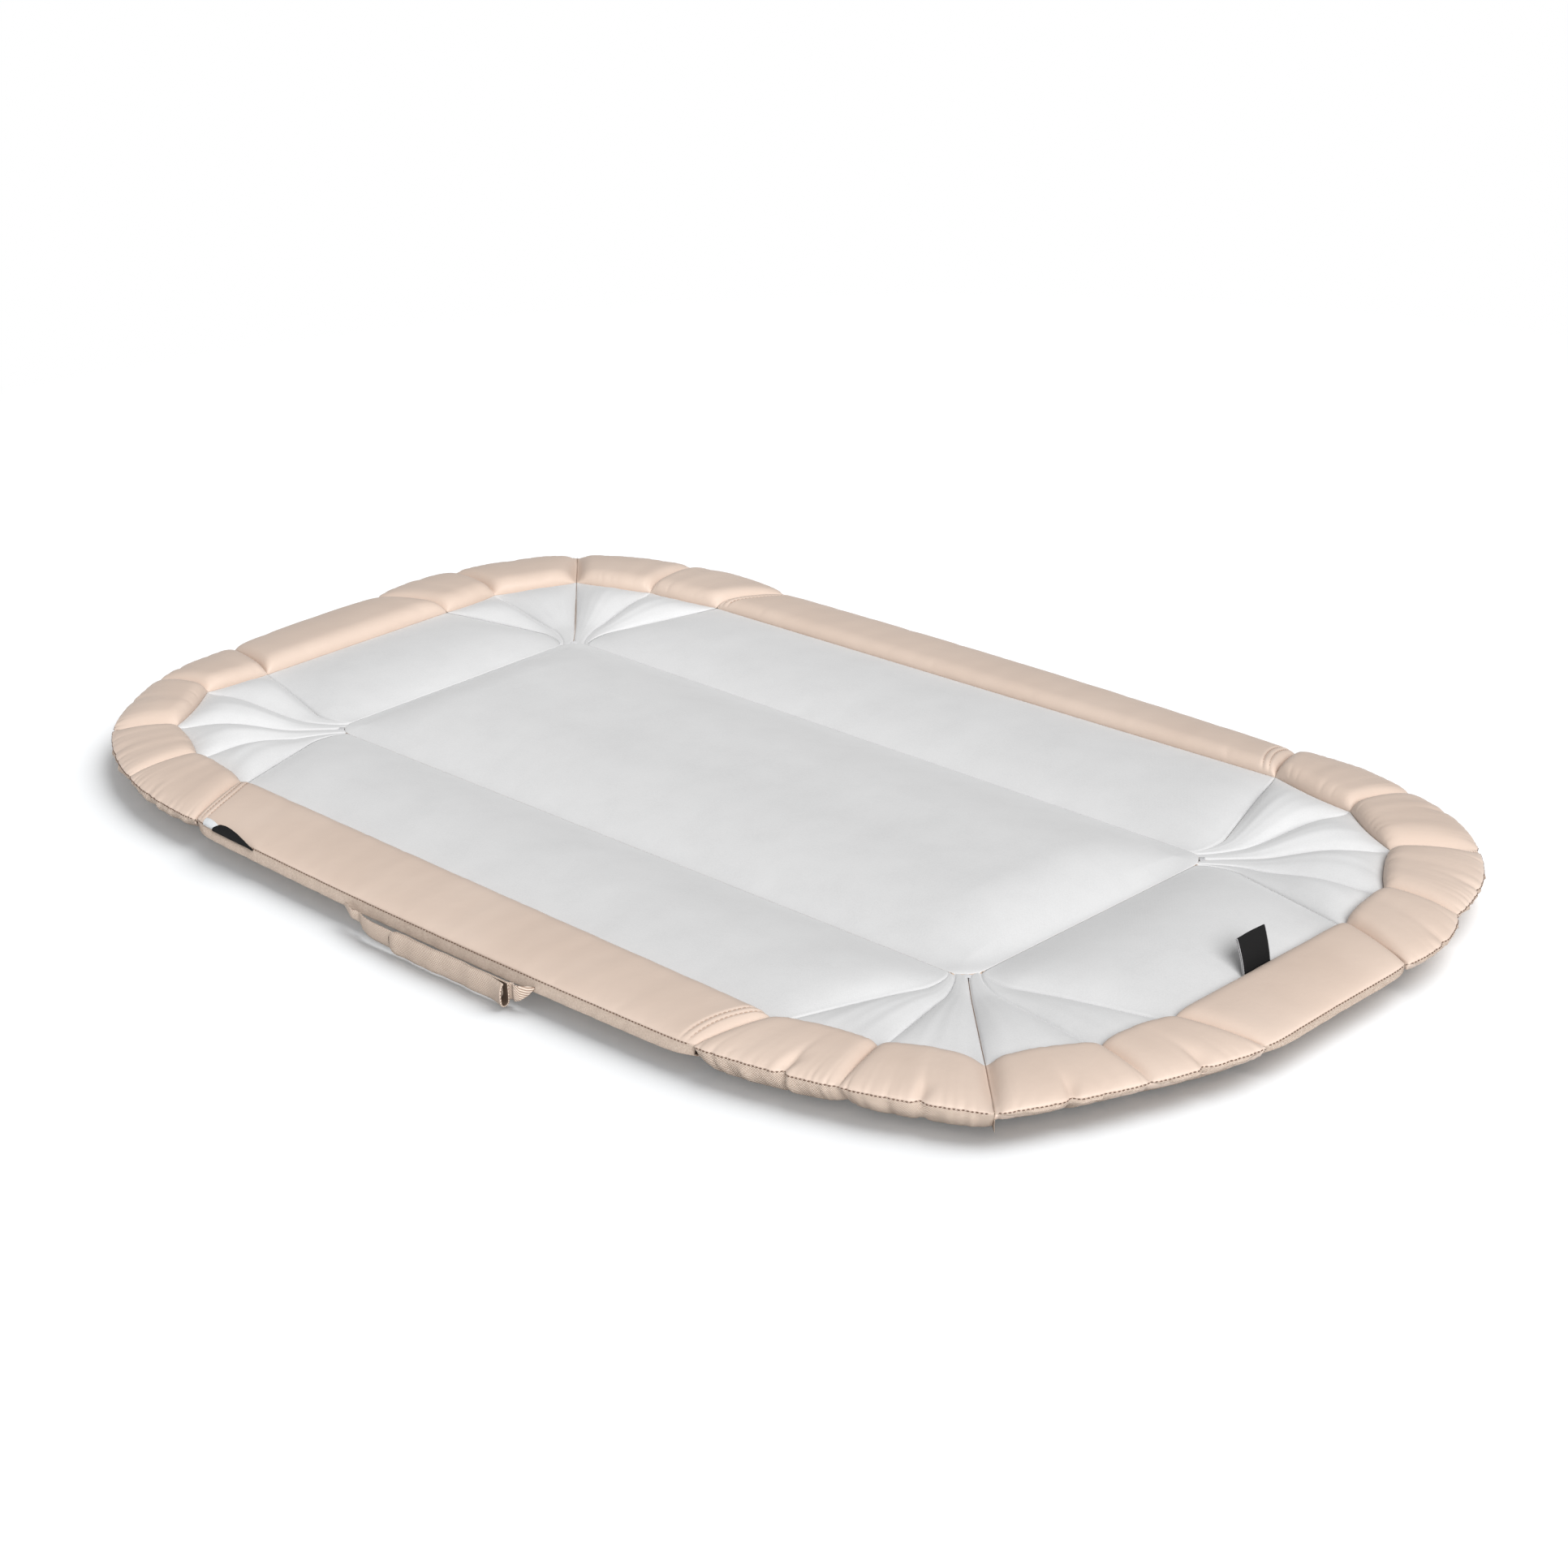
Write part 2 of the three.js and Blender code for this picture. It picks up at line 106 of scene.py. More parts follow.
# Height of the rim over its seams, and its ridge as a share of its width
RIM_CROWN = {"end_wall_head": 11.5, "corner_head_far_end": 11.5, "corner_head_far_long": 11.0,
             "corner_head_near_end": 10.5, "corner_foot_far_long": 11.5, "corner_foot_far_end": 11.0}
RIM_CROWN_ELSEWHERE = 9.0
RIM_RIDGE = 0.2

# Deeper tucks of the sewn edge, as shares across a half corner
TUCKS = {"corner_foot_near_end": [0.28, 0.78], "corner_foot_near_long": [0.78, 0.3],
         "corner_foot_far_end": [0.35, 0.8], "corner_foot_far_long": [0.7],
         "corner_head_near_long": [0.3, 0.75], "corner_head_near_end": [0.3, 0.7],
         "corner_head_far_long": [0.4], "corner_head_far_end": [0.3, 0.75]}
TUCK_DEPTH = {"foot_near": 3.8, "foot_far": 1.8, "head_near": 1.0, "head_far": 0.9}


def soft(distance, width):
    """Rises from 0 at a seam to 1 far from it."""
    return 1 - np.exp(-np.maximum(distance, 0) / width)


def clear_of(distances, width):
    """0 on any of some seams and 1 far from all of them."""
    return np.prod([soft(d, width) for d in distances], axis=0)


def mix(a, b, t):
    return a + (b - a) * t


def bell(distance, width):
    return np.exp(-(distance / width) ** 2)


def arch(share):
    return np.sin(math.pi * share)


def share_between(value, start, end):
    """How far a value is on its way from start to end, from 0 to 1."""
    return np.clip((value - start) / (end - start), 0, 1)


def seam_z(r):
    return TUFT_Z + SEAM_RISE * r


def swelling(share, lean):
    """Height share of a quilted field across its width; the lean moves its highest place."""
    return np.maximum(arch(np.clip(share, 0, 1) ** lean), 0) ** 0.85


def rounded(distance, width):
    """The distance from a groove, rounded off so that the groove has a soft bottom."""
    return np.sqrt(np.maximum(distance, 0) ** 2 + width ** 2) - width


def chord(table, angle):
    """Radius of the straight lines between a table's points on the folds, and the share of their bow."""
    i = np.clip(np.searchsorted(ANGLES, angle) - 1, 0, len(ANGLES) - 2)
    lines, radii = np.array(ANGLES), np.array(table, float)
    before, after = np.radians(angle - lines[i]), np.radians(lines[i + 1] - angle)
    whole = np.sin(np.radians(lines[i + 1] - lines[i]))
    bow = arch((angle - lines[i]) / (lines[i + 1] - lines[i]))
    straight = whole / (np.sin(before) / radii[i + 1] + np.sin(after) / radii[i])
    return straight, bow


def gathers(rng, length, spacing, depth, reach, width):
    """Short creases along a seam: place, depth, reach, width and lean of each."""
    creases, place = [], rng.uniform(0.3, 1.0) * spacing
    while place < length:
        creases.append((place, depth * rng.uniform(0.3, 1.0), reach * rng.uniform(0.45, 1.25),
                        width * rng.uniform(0.7, 1.5), rng.uniform(-0.4, 0.4)))
        place += spacing * rng.uniform(0.5, 1.5)
    return creases


def crease_field(creases, along, distance):
    """Depth of all creases at a place along the seam and a distance from it."""
    total = np.zeros_like(along)
    for place, depth, reach, width, lean in creases:
        spread = width * (1 + 0.6 * np.clip(distance / reach, 0, 2))
        total += depth * bell(along - place - lean * distance, spread) * bell(distance, reach)
    return total


def ripple(rng, along, waves):
    """A sum of waves, each given by its length and size, with random phases."""
    total = np.zeros_like(along)
    for length, size in waves:
        total += size * np.sin(2 * math.pi * along / length * rng.uniform(0.85, 1.15) + rng.uniform(0, 6.28))
    return total


def drawn_in(r, a, z):
    """Place from the pad's corner; above the core the cloth is drawn on to the pad's round corner."""
    loose = np.clip(r / TUFT_REACH, 0, 1)
    loose = loose * loose * (3 - 2 * loose)
    loose = np.where(z > LOW_CLOTH, loose, 1.0)
    turn = np.clip(a, 0, math.pi / 2)
    return (mix(TUFT_RADIUS * (np.sin(turn) - 1), r * np.sin(a), loose),
            mix(TUFT_RADIUS * (np.cos(turn) - 1), r * np.cos(a), loose))


def seam_inset(out, long):
    """How far a side's end seam lies in from the pad's corner at a distance out."""
    r = np.linspace(0, 1.2 * max(max(v) for v in RIM.values()), 1600)
    x, y = drawn_in(r, math.radians(ANGLES[0] if long else ANGLES[4]), SEAM_Z)
    along, away = (x, y) if long else (y, x)
    return -np.interp(out, away, along)


# A region is half a corner or a side; its place() takes (share across, distance out, height) to a point
class Fan:
    fan = True
    roll_reach = 30.0
    white_start = 0.0
    under_start = 20.0
    cover_tip = 11.0

    def __init__(self, corner, sx, sy, half, folds, wall_first, seed):
        self.sx, self.sy, self.wall_first, self.corner = sx, sy, wall_first, corner
        self.first, self.mid, self.last = (ANGLES[i] for i in folds)
        self.body = self.name = f"corner_{corner}_{half}"
        self.rng = np.random.default_rng(seed)
        self.length = math.radians(self.last - self.first) * np.mean(RIM[corner])
        self.puckers = gathers(self.rng, self.length, spacing=8.0, depth=1.2, reach=5.0, width=1.1)
        depth = TUCK_DEPTH[corner]
        self.tucks = gathers(self.rng, self.length, spacing=34.0, depth=0.1 * depth, reach=14.0, width=3.5)
        reach, width, lean = 11.0, 3.0, 0.25
        self.tucks += [(share * self.length, depth, reach, width, lean) for share in TUCKS[self.name]]

    def angle_at(self, share):
        return mix(self.first, self.last, share)

    def white(self, share):
        straight, bow = chord(WHITE[self.corner], self.angle_at(share))
        return straight - WHITE_BOW * bow

    def rim(self, share):
        straight, bow = chord(RIM[self.corner], self.angle_at(share))
        return straight + CORNER_BOW[self.corner] * bow

    def outer(self, share):
        """The sewn edge of the rim, drawn in at the folds and at each pucker."""
        rim = self.rim(share)
        loose = clear_of(self.seams(share, rim), 4.0)
        drawn = crease_field(self.puckers, share * self.length, 0 * share) * 0.7
        return rim + 1.8 * (loose - 0.6) - drawn - crease_field(self.tucks, share * self.length, 0 * share)

    def angle(self, share, r, z):
        slope = np.maximum(seam_z(r) - z, 0) * BEVEL
        span = self.last - self.first

        def inset(at_wall):
            width = (GAP if at_wall else FOLD_GAP) / 2 + (slope if at_wall else 0)
            return np.minimum(np.degrees(np.arcsin(np.minimum(width / r, 0.98))), span * 0.42)
        return mix(self.first + inset(self.wall_first), self.last - inset(not self.wall_first), share)

    def place(self, share, r, z):
        a = np.radians(self.angle(share, np.maximum(r, 0.5), z))
        x, y = drawn_in(r, a, z)
        return np.stack([self.sx * (PAD_L + x), self.sy * (PAD_W + y), z + 0 * r], -1)

    def seams(self, share, r):
        """Distances from the folds at both sides and in the middle."""
        a = self.angle_at(share)
        return [r * np.abs(np.sin(np.radians(a - line))) for line in (self.first, self.mid, self.last)]

    def lines(self):
        """The folds, as shares across the half corner."""
        return [0, (self.mid - self.first) / (self.last - self.first), 1]


class Wall:
    fan = False
    roll_reach = 42.0
    white_start = GAP / 2
    under_start = GAP / 2
    cover_tip = 0.5

    def __init__(self, name, long, side, seed):
        self.body = self.name = name
        self.long, self.side = long, side
        self.half = PAD_L if long else PAD_W
        self.slant = LONG_SLANT if long else END_SLANT
        cosine = math.cos(math.radians(ANGLES[0])) if long else math.sin(math.radians(ANGLES[4]))
        word, fold = ("far" if side > 0 else "near"), (0 if long else 4)
        end = "foot" if side > 0 else "head"
        corners = (f"head_{word}", f"foot_{word}") if long else (f"{end}_near", f"{end}_far")
        self.white_ends = [WHITE[c][fold] * cosine for c in corners]
        self.rim_ends = [RIM[c][fold] * cosine for c in corners]
        self.depth = np.mean(self.white_ends)
        self.rng = np.random.default_rng(seed)
        self.length = 2 * (self.half - np.mean(self.rim_ends) * self.slant)
        self.puckers = gathers(self.rng, self.length, spacing=34.0, depth=0.5, reach=7.0, width=3.0)
        self.tucks = gathers(self.rng, self.length, spacing=120.0, depth=0.2, reach=24.0, width=9.0)

    def white(self, share):
        return mix(*self.white_ends, share)

    def rim(self, share):
        return mix(*self.rim_ends, share) + SIDE_BOW[self.name] * arch(share)

    def outer(self, share):
        """The sewn edge of the rim, drawn in at both ends and at each pucker."""
        rim = self.rim(share)
        loose = clear_of(self.seams(share, rim), 6.0)
        return rim + 2.4 * (loose - 1) - 0.5 * crease_field(self.puckers, share * self.length, 0 * share)

    def place(self, share, out, z):
        bevel = np.maximum(seam_z(out) - z, 0) * BEVEL + GAP / 2
        inset = np.where(z > LOW_CLOTH, seam_inset(out, self.long), out * self.slant)
        half = self.half - inset - bevel
        along, up = mix(-half, half, share), z + 0 * out
        if self.long:
            return np.stack([along, self.side * (PAD_W + out), up], -1)
        return np.stack([self.side * (PAD_L + out), along, up], -1)

    def seams(self, share, out):
        """Distances from the seams at both ends."""
        half = self.half - seam_inset(out, self.long)
        return [share * 2 * half, (1 - share) * 2 * half]

    def lines(self):
        return [0, 1]


CORNERS = {"foot_far": (1, 1), "head_far": (-1, 1), "head_near": (-1, -1), "foot_near": (1, -1)}
LONG_WALLS = [Wall("long_wall_near", True, -1, 11), Wall("long_wall_far", True, 1, 12)]
WALLS = LONG_WALLS + [Wall("end_wall_head", False, -1, 13), Wall("end_wall_foot", False, 1, 14)]
FANS = []
for index, (corner, (sx, sy)) in enumerate(CORNERS.items()):
    FANS.append(Fan(corner, sx, sy, "long", (0, 1, 2), True, 21 + index))
    FANS.append(Fan(corner, sx, sy, "end", (2, 3, 4), False, 31 + index))


# Meshes
def add_object(name, data):
    obj = bpy.data.objects.new(name, data)
    bpy.context.collection.objects.link(obj)
    return obj


def new_object(name, verts, faces, mat, uv=None):
    mesh = bpy.data.meshes.new(name)
    mesh.from_pydata((np.asarray(verts) * MM).tolist(), [], faces)
    if uv is not None:
        layer = mesh.uv_layers.new(name="cloth")
        loops = np.empty(len(mesh.loops), dtype=np.int32)
        mesh.loops.foreach_get("vertex_index", loops)
        layer.data.foreach_set("uv", (np.asarray(uv) * MM)[loops].astype(np.float32).ravel())
    mesh.polygons.foreach_set("use_smooth", [True] * len(mesh.polygons))
    mesh.materials.append(mat)
    return add_object(name, mesh)


def quads_of(m, n, wrap=False):
    """The faces of an m by n grid of points."""
    index = np.arange(m * n).reshape(m, n)
    if wrap:
        index = np.concatenate([index, index[:, :1]], 1)
    return np.stack([index[:-1, :-1], index[1:, :-1], index[1:, 1:], index[:-1, 1:]], -1).reshape(-1, 4)


def ring_of(m, n):
    """The border points of an m by n grid, in order round it."""
    index = np.arange(m * n).reshape(m, n)
    return np.concatenate([index[:, 0], index[-1, 1:], index[-2::-1, -1], index[0, -2:0:-1]])


def outward(verts, faces):
    """The faces, turned so that the closed form they make has a positive volume."""
    a, b, c, d = (verts[faces[:, k]] for k in range(4))
    volume = (a * (np.cross(b, c) + np.cross(c, d))).sum()
    return faces if volume > 0 else faces[:, ::-1]


def pillow(name, top, under, mat):
    """A closed form: a fine top grid, a skirt down to the under side, and a fan that closes it."""
    m, n, _ = top.shape
    ring = ring_of(m, n)
    low = m * n + np.arange(len(ring))
    skirt = np.stack([ring, low, np.roll(low, -1), np.roll(ring, -1)], 1)
    hub = np.full(len(ring), m * n + len(ring))
    foot = under.reshape(-1, 3)[ring]
    verts = np.concatenate([top.reshape(-1, 3), foot, foot.mean(0, keepdims=True)])
    fan = np.stack([low, hub, hub, np.roll(low, -1)], 1)
    faces = outward(verts, np.concatenate([quads_of(m, n), skirt, fan]))
    clean = [[v for k, v in enumerate(f) if v not in f[:k]] for f in faces.tolist()]
    return new_object(name, verts, clean, mat)


def shell(name, outer, inner, mat, uv):
    """A closed thin sheet between two grids of the same count."""
    m, n, _ = outer.shape
    ring, back = ring_of(m, n), m * n
    nxt = np.roll(ring, -1)
    quads = quads_of(m, n)
    faces = np.concatenate([quads, quads[:, ::-1] + back, np.stack([ring, ring + back, nxt + back, nxt], 1)])
    verts = np.concatenate([outer.reshape(-1, 3), inner.reshape(-1, 3)])
    flat = uv.reshape(-1, 2)
    return new_object(name, verts, outward(verts, faces).tolist(), mat, np.concatenate([flat, flat]))


def grid(rows, columns):
    return np.meshgrid(rows, columns, indexing="ij")


def line_shares(lines, length, step, close):
    """Sample places along a length, closer at the given lines."""
    shares = set()
    for a, b in zip(lines[:-1], lines[1:]):
        count = max(int((b - a) * length / step), 6)
        u = np.linspace(0, 1, count + 1)
        u = u - 0.75 * close * np.sin(2 * math.pi * u) / (2 * math.pi)
        shares.update(np.round(a + (b - a) * u, 6).tolist())
    return np.array(sorted(shares))


def frames_along(path):
    """Side and up vectors along a path of points."""
    tangent = np.gradient(path, axis=0)
    tangent /= np.linalg.norm(tangent, axis=1, keepdims=True)
    side = np.cross(tangent, [0, 0, 1.0])
    side /= np.maximum(np.linalg.norm(side, axis=1, keepdims=True), 1e-9)
    return side, np.cross(side, tangent)


def round_rings(line, side, up, radii, count):
    """Rings of points round a line, with one radius for each of its points."""
    a = np.linspace(0, 2 * math.pi, count, endpoint=False)[:, None]
    spokes = np.cos(a) * side[:, None] + np.sin(a) * up[:, None]
    return line[:, None] + np.reshape(radii, (-1, 1, 1)) * spokes


def stitches(name, path, mat, body, pitch, share, thick):
    """A row of short threads along a path, each a small spindle, as one mesh."""
    lengths = np.concatenate([[0], np.cumsum(np.linalg.norm(np.diff(path, axis=0), axis=1))])
    starts = np.arange(pitch * 0.3, lengths[-1] - pitch * share, pitch)
    spindle = np.array([[0, 0.25], [0.18, 0.85], [0.5, 1.0], [0.82, 0.85], [1, 0.25]])
    sides = 6
    single = quads_of(len(spindle), sides, wrap=True)
    caps = np.array([[0, 1, 2, 3], [0, 3, 4, 5]])
    verts, faces = [], []
    for index, start in enumerate(starts):
        at = start + spindle[:, 0] * pitch * share
        line = np.stack([np.interp(at, lengths, path[:, k]) for k in range(3)], -1)
        # both ends of a thread dip into the cloth
        dip = np.array([0, 0, -thick * 0.35]) * (1 - spindle[:, 1])[:, None, None]
        ring = round_rings(line, *frames_along(line), thick / 2 * spindle[:, 1], sides) + dip
        base = index * len(spindle) * sides
        verts.append(ring.reshape(-1, 3))
        faces += [single + base, caps[:, ::-1] + base, caps + base + (len(spindle) - 1) * sides]
    verts, faces = np.concatenate(verts), np.concatenate(faces)
    bind(new_object(name, verts, outward(verts, faces).tolist(), mat), body, [])


# Materials
class Nodes:
    """A tree of shader nodes, with a short call for each kind that is used here."""

    def __init__(self, tree):
        self.nodes, self.links = tree.nodes, tree.links

    def feed(self, node, inputs):
        """Set a node's inputs by name or number, each to a value or to another node's output."""
        for name, value in inputs.items():
            if isinstance(value, bpy.types.NodeSocket):
                self.links.new(value, node.inputs[name])
            else:
                node.inputs[name].default_value = value

    def add(self, kind, inputs, output=0, **settings):
        node = self.nodes.new("ShaderNode" + kind)
        for name, value in settings.items():
            setattr(node, name, value)
        self.feed(node, inputs)
        return node.outputs[output]

    def place(self):
        return self.add("TexCoord", {}, "Object")

    def axes(self, vector):
        outputs = self.add("SeparateXYZ", {0: vector}).node.outputs
        return outputs[0], outputs[1]

    def cloth_axes(self):
        """The two directions of a sheet laid out flat."""
        return self.axes(self.add("UVMap", {}, uv_map="cloth"))

    def math(self, operation, *values):
        return self.add("Math", dict(enumerate(values)), operation=operation)

    def plus(self, a, b):
        return self.math("ADD", a, b)

    def times(self, a, b):
        return self.math("MULTIPLY", a, b)

    def wave(self, along, length):
        """A sine with the given wave length in metres."""
        return self.math("SINE", self.times(along, 2 * math.pi / length))

    def noise(self, place, scale, detail, rough=0.55):
        inputs = {"Vector": place, "Scale": scale, "Detail": detail, "Roughness": rough}
        return self.add("TexNoise", inputs, "Fac")

    def ramp(self, value, stops):
        """Colours over a value."""
        color = self.add("ValToRGB", {0: value})
        elements = color.node.color_ramp.elements
        for element, (position, tone) in zip(elements, (stops[0], stops[-1])):
            element.position = position
            element.color = (*tone, 1)
        for position, tone in stops[1:-1]:
            elements.new(position).color = (*tone, 1)
        return color

    def bump(self, height, strength, distance, **under):
        """Relief from a height, over the relief under it."""
        return self.add("Bump", {"Height": height, "Strength": strength, "Distance": distance, **under})


class Material(Nodes):
    def __init__(self, name):
        self.made = bpy.data.materials.new(name)
        self.made.use_nodes = True
        super().__init__(self.made.node_tree)
        self.surface = next(n for n in self.nodes if n.type == "BSDF_PRINCIPLED")

    def finish(self, color, relief, roughness, specular=0.5, sheen=0.0):
        self.feed(self.surface, {"Base Color": color, "Normal": relief, "Roughness": roughness,
                                 "Specular IOR Level": specular, "Sheen Weight": sheen})
        return self.made


# Spacing of the knit's wales and courses, the twill's ribs and picks, and the tapes' threads, in metres
WALE = 0.0011
COURSE = 0.0009
RIB = 0.00135
RIB_LEAN = 0.8
PICK = 0.0009
WARP = 0.0005
WEFT = 0.0006


def jersey_material():
    mat = Material("white_jersey_cloth")
    place = mat.place()
    x, y = mat.axes(place)
    # wales run along the length, courses across
    knit = mat.times(mat.wave(y, WALE), mat.wave(x, COURSE))
    fleck = mat.noise(place, 900.0, 2.0)
    cloud = mat.noise(place, 38.0, 4.0)
    tone = mat.plus(mat.times(fleck, 0.5), mat.times(cloud, 0.5))
    color = mat.ramp(tone, [(0.3, (0.65, 0.65, 0.652)), (0.5, (0.685, 0.685, 0.687)),
                            (0.72, (0.712, 0.712, 0.714))])
    relief = mat.bump(mat.plus(mat.times(knit, 0.35), fleck), 0.25, 0.0002)
    relief = mat.bump(cloud, 0.25, 0.0012, Normal=relief)
    return mat.finish(color, relief, roughness=0.9, specular=0.2, sheen=0.25)


def rim_material():
    mat = Material("beige_rim_cloth")
    place = mat.place()
    color = mat.ramp(mat.noise(place, 14.0, 3.0), [(0.3, (0.665, 0.53, 0.442)), (0.55, (0.692, 0.557, 0.468)),
                                                   (0.75, (0.712, 0.578, 0.489))])
    relief = mat.bump(mat.noise(place, 1500.0, 2.0), 0.12, 0.0001)
    relief = mat.bump(mat.noise(place, 95.0, 4.0, 0.6), 0.22, 0.0012, Normal=relief)
    return mat.finish(color, relief, roughness=0.55, specular=0.3, sheen=0.05)


def twill_material():
    mat = Material("beige_twill_cloth")
    across, along = mat.cloth_axes()
    # ribs lean across the weft: one light and one dark yarn to a rib, broken up along it
    rib = mat.wave(mat.plus(across, mat.times(along, RIB_LEAN)), RIB)
    pick = mat.wave(along, PICK)
    flecks = mat.plus(mat.times(mat.noise(mat.place(), 1100.0, 2.0), 0.45), 0.275)
    weave = mat.plus(mat.times(rib, 0.32), mat.plus(mat.times(pick, 0.12), flecks))
    color = mat.ramp(weave, [(0.15, (0.26, 0.17, 0.125)), (0.40, (0.46, 0.345, 0.27)),
                             (0.6, (0.64, 0.52, 0.43)), (0.9, (0.82, 0.73, 0.64))])
    return mat.finish(color, mat.bump(weave, 0.5, 0.0003), roughness=0.85, specular=0.25)


def thread_material(name, color):
    mat = Material(name)
    twist = mat.noise(mat.place(), 2500.0, 1.0)
    dark = [v * 0.8 for v in color]
    light = [min(v * 1.1, 1) for v in color]
    color = mat.ramp(twist, [(0.3, dark), (0.7, light)])
    return mat.finish(color, mat.bump(twist, 0.4, 0.0001), roughness=0.6)


def tape_material(name, dark, light, selvedge=None):
    """Woven tape, bare of any print; with a selvedge its two cut edges are pale."""
    mat = Material(name)
    across, along = mat.cloth_axes()
    weave = mat.times(mat.wave(across, WARP), mat.wave(along, WEFT))
    color = mat.ramp(mat.math("MULTIPLY_ADD", weave, 0.5, 0.5), [(0.0, dark), (1.0, light)])
    if selvedge:
        at_edge = mat.math("GREATER_THAN", mat.math("ABSOLUTE", across), selvedge)
        pale = (0.42, 0.42, 0.43, 1)
        color = mat.add("Mix", {"Factor": at_edge, 6: color, 7: pale}, 2, data_type="RGBA")
    return mat.finish(color, mat.bump(weave, 0.35, 0.0001), roughness=0.85, specular=0.15)


JERSEY = jersey_material()
RIM_CLOTH = rim_material()
TWILL = twill_material()
THREAD = thread_material("brown_thread", (0.16, 0.09, 0.06))
RIM_THREAD = thread_material("beige_thread", (0.50, 0.36, 0.28))
WHITE_THREAD = thread_material("white_thread", (0.62, 0.62, 0.63))
# painted shade: a near-black brown for the strap tube's inner side, standing for the shadow inside it
STRAP_PAINTED_SHADE = thread_material("strap_inside", (0.10, 0.065, 0.045))
BLACK_TONES = ((0.004, 0.004, 0.004), (0.02, 0.02, 0.021))
BLACK = tape_material("black_woven_tape", *BLACK_TONES)
TAB_TAPE = tape_material("black_tab_tape", *BLACK_TONES, selvedge=0.01215)
PALE = tape_material("pale_woven_tape", (0.62, 0.64, 0.66), (0.78, 0.79, 0.8))


# Cloth pieces
def bind(obj, body, replaces):
    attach(obj, body)
    if replaces:
        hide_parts(*replaces)


def sheet_piece(name, sides, uv, mat, body, replaces, length=None):
    """A thin sheet with its two sides; half of its surface is the flat area that it was cut to."""
    obj = shell(name, *sides, mat, uv)
    bind(obj, body, replaces)
    low, high = np.array(obj.bound_box).min(0), np.array(obj.bound_box).max(0)
    length = length or max(high[0] - low[0], high[1] - low[1])
    return obj


def second_material(obj, mat, pick, first):
    """Another material on the faces whose points, all (min) or some (max), are numbered from first on."""
    obj.data.materials.append(mat)
    for face in obj.data.polygons:
        face.material_index = int(pick(face.vertices) >= first)


# The white cloth: its seam's share of the rim's length, its sides' low end, the soft groove along a hinge,
# and the sewn line down each fold
WHITE_LENGTH = 0.7
WEDGE_LENGTH = 120
UNDER_Z = COVER + 0.5
GROOVE = 4.0
SEWN_DEPTH = 0.9
SEWN_WIDTH = 0.8


def wedge_height(region, share, out, to_rim, along):
    """Two puffed wedges, sewn down along the folds and sagging a little beside the wall."""
    seams = region.seams(share, np.maximum(out, 6.0))
    puff = clear_of(seams, 8.5)
    reach = out / region.white(share)
    at_wall = seams[0 if region.wall_first else 2]
    height = seam_z(out) - WEDGE_SAG[region.corner] * arch(reach) * soft(at_wall, 9.0)
    height += WEDGE_CROWN[region.corner] * puff * swelling(reach, WEDGE_LEAN[region.corner])
    height -= sum(SEWN_DEPTH * bell(d, SEWN_WIDTH) for d in seams) * soft(to_rim, 6.0)
    waves = ripple(region.rng, along, [(31, 1.0), (17, 0.6)])
    return height + 0.3 * waves * soft(out, 30) * soft(to_rim, 12) * puff


def side_height(region, share, out, to_rim, along):
    """One broad quilted field with a soft groove along its hinge."""
    ends = np.minimum(*region.seams(share, out))
    swell = swelling(rounded(out, GROOVE) / (region.white(share) - GROOVE), WALL_LEAN)
    height = seam_z(out) + WALL_CROWN[region.name] * swell * soft(rounded(ends, 2.0), 14.0)
    waves = ripple(region.rng, along, [(70, 1.0), (33, 0.5)])
    return height + 0.3 * waves * soft(out, 25) * soft(to_rim, 14)


def white_piece(region):
    rng = region.rng
    length = region.length * WHITE_LENGTH
    if region.fan:
        columns = line_shares(region.lines(), length, step=1.5, close=0.96)
        rows = line_shares([0, 1], WEDGE_LENGTH, step=2.0, close=0.7)
    else:
        columns = line_shares(region.lines(), region.length, step=2.8, close=0.35)
        rows = line_shares([0, 1], region.depth, step=2.4, close=0.6)
    share, t = grid(columns, rows)
    out = mix(region.white_start, region.white(share) - GAP / 2, t)
    to_rim = region.white(share) - out
    along = share * length
    if region.fan:
        height = wedge_height(region, share, out, to_rim, along)
        creases = gathers(rng, length, spacing=12.0, depth=0.45, reach=8.0, width=1.6)
    else:
        height = side_height(region, share, out, to_rim, along)
        creases = gathers(rng, length, spacing=26.0, depth=0.3, reach=10.0, width=3.5)
        pulls = gathers(rng, length, spacing=60.0, depth=0.35, reach=26.0, width=7.0)
        height -= crease_field(pulls, along, out) * soft(out, 5)
    height -= crease_field(creases, along, to_rim) * soft(to_rim, 1.5)
    top = region.place(share, out, height)
    under = region.place(share, np.maximum(out, region.under_start), 0 * out + UNDER_Z)
    obj = pillow(region.name + "_white_cloth", top, under, JERSEY)
    if region.fan:
        # the sides show at the corners when the walls are up
        second_material(obj, TWILL, max, out.size)
    solids = ("_gusset", "_core") if region.fan else ("_top_panel", "_foam_core")
    bind(obj, region.body, [region.name + s for s in solids])


# The rim: how its cross seams pinch it, and two bowed rows of stitches in grooves at both ends of a long side
RIM_PINCH = 3.2
RIM_PINCHED = 0.22
FOLD_PINCH = 5.2
RIM_UNDER_Z = 13.0
ROW_INSETS = (5.0, 10.0)
ROW_BOW = 3.2
ROW_DEPTH = 0.8
ROW_WIDTH = 1.1


def rim_height(x):
    """Height share across the rim: up at once from the white seam, over a ridge, round at the edge."""
    rise = (1 - np.clip(1 - x / RIM_RIDGE, 0, 1) ** 2.4) ** (1 / 2.4)
    fall = (1 - share_between(x, RIM_RIDGE, 1) ** 2.1) ** 0.58
    return rise * fall


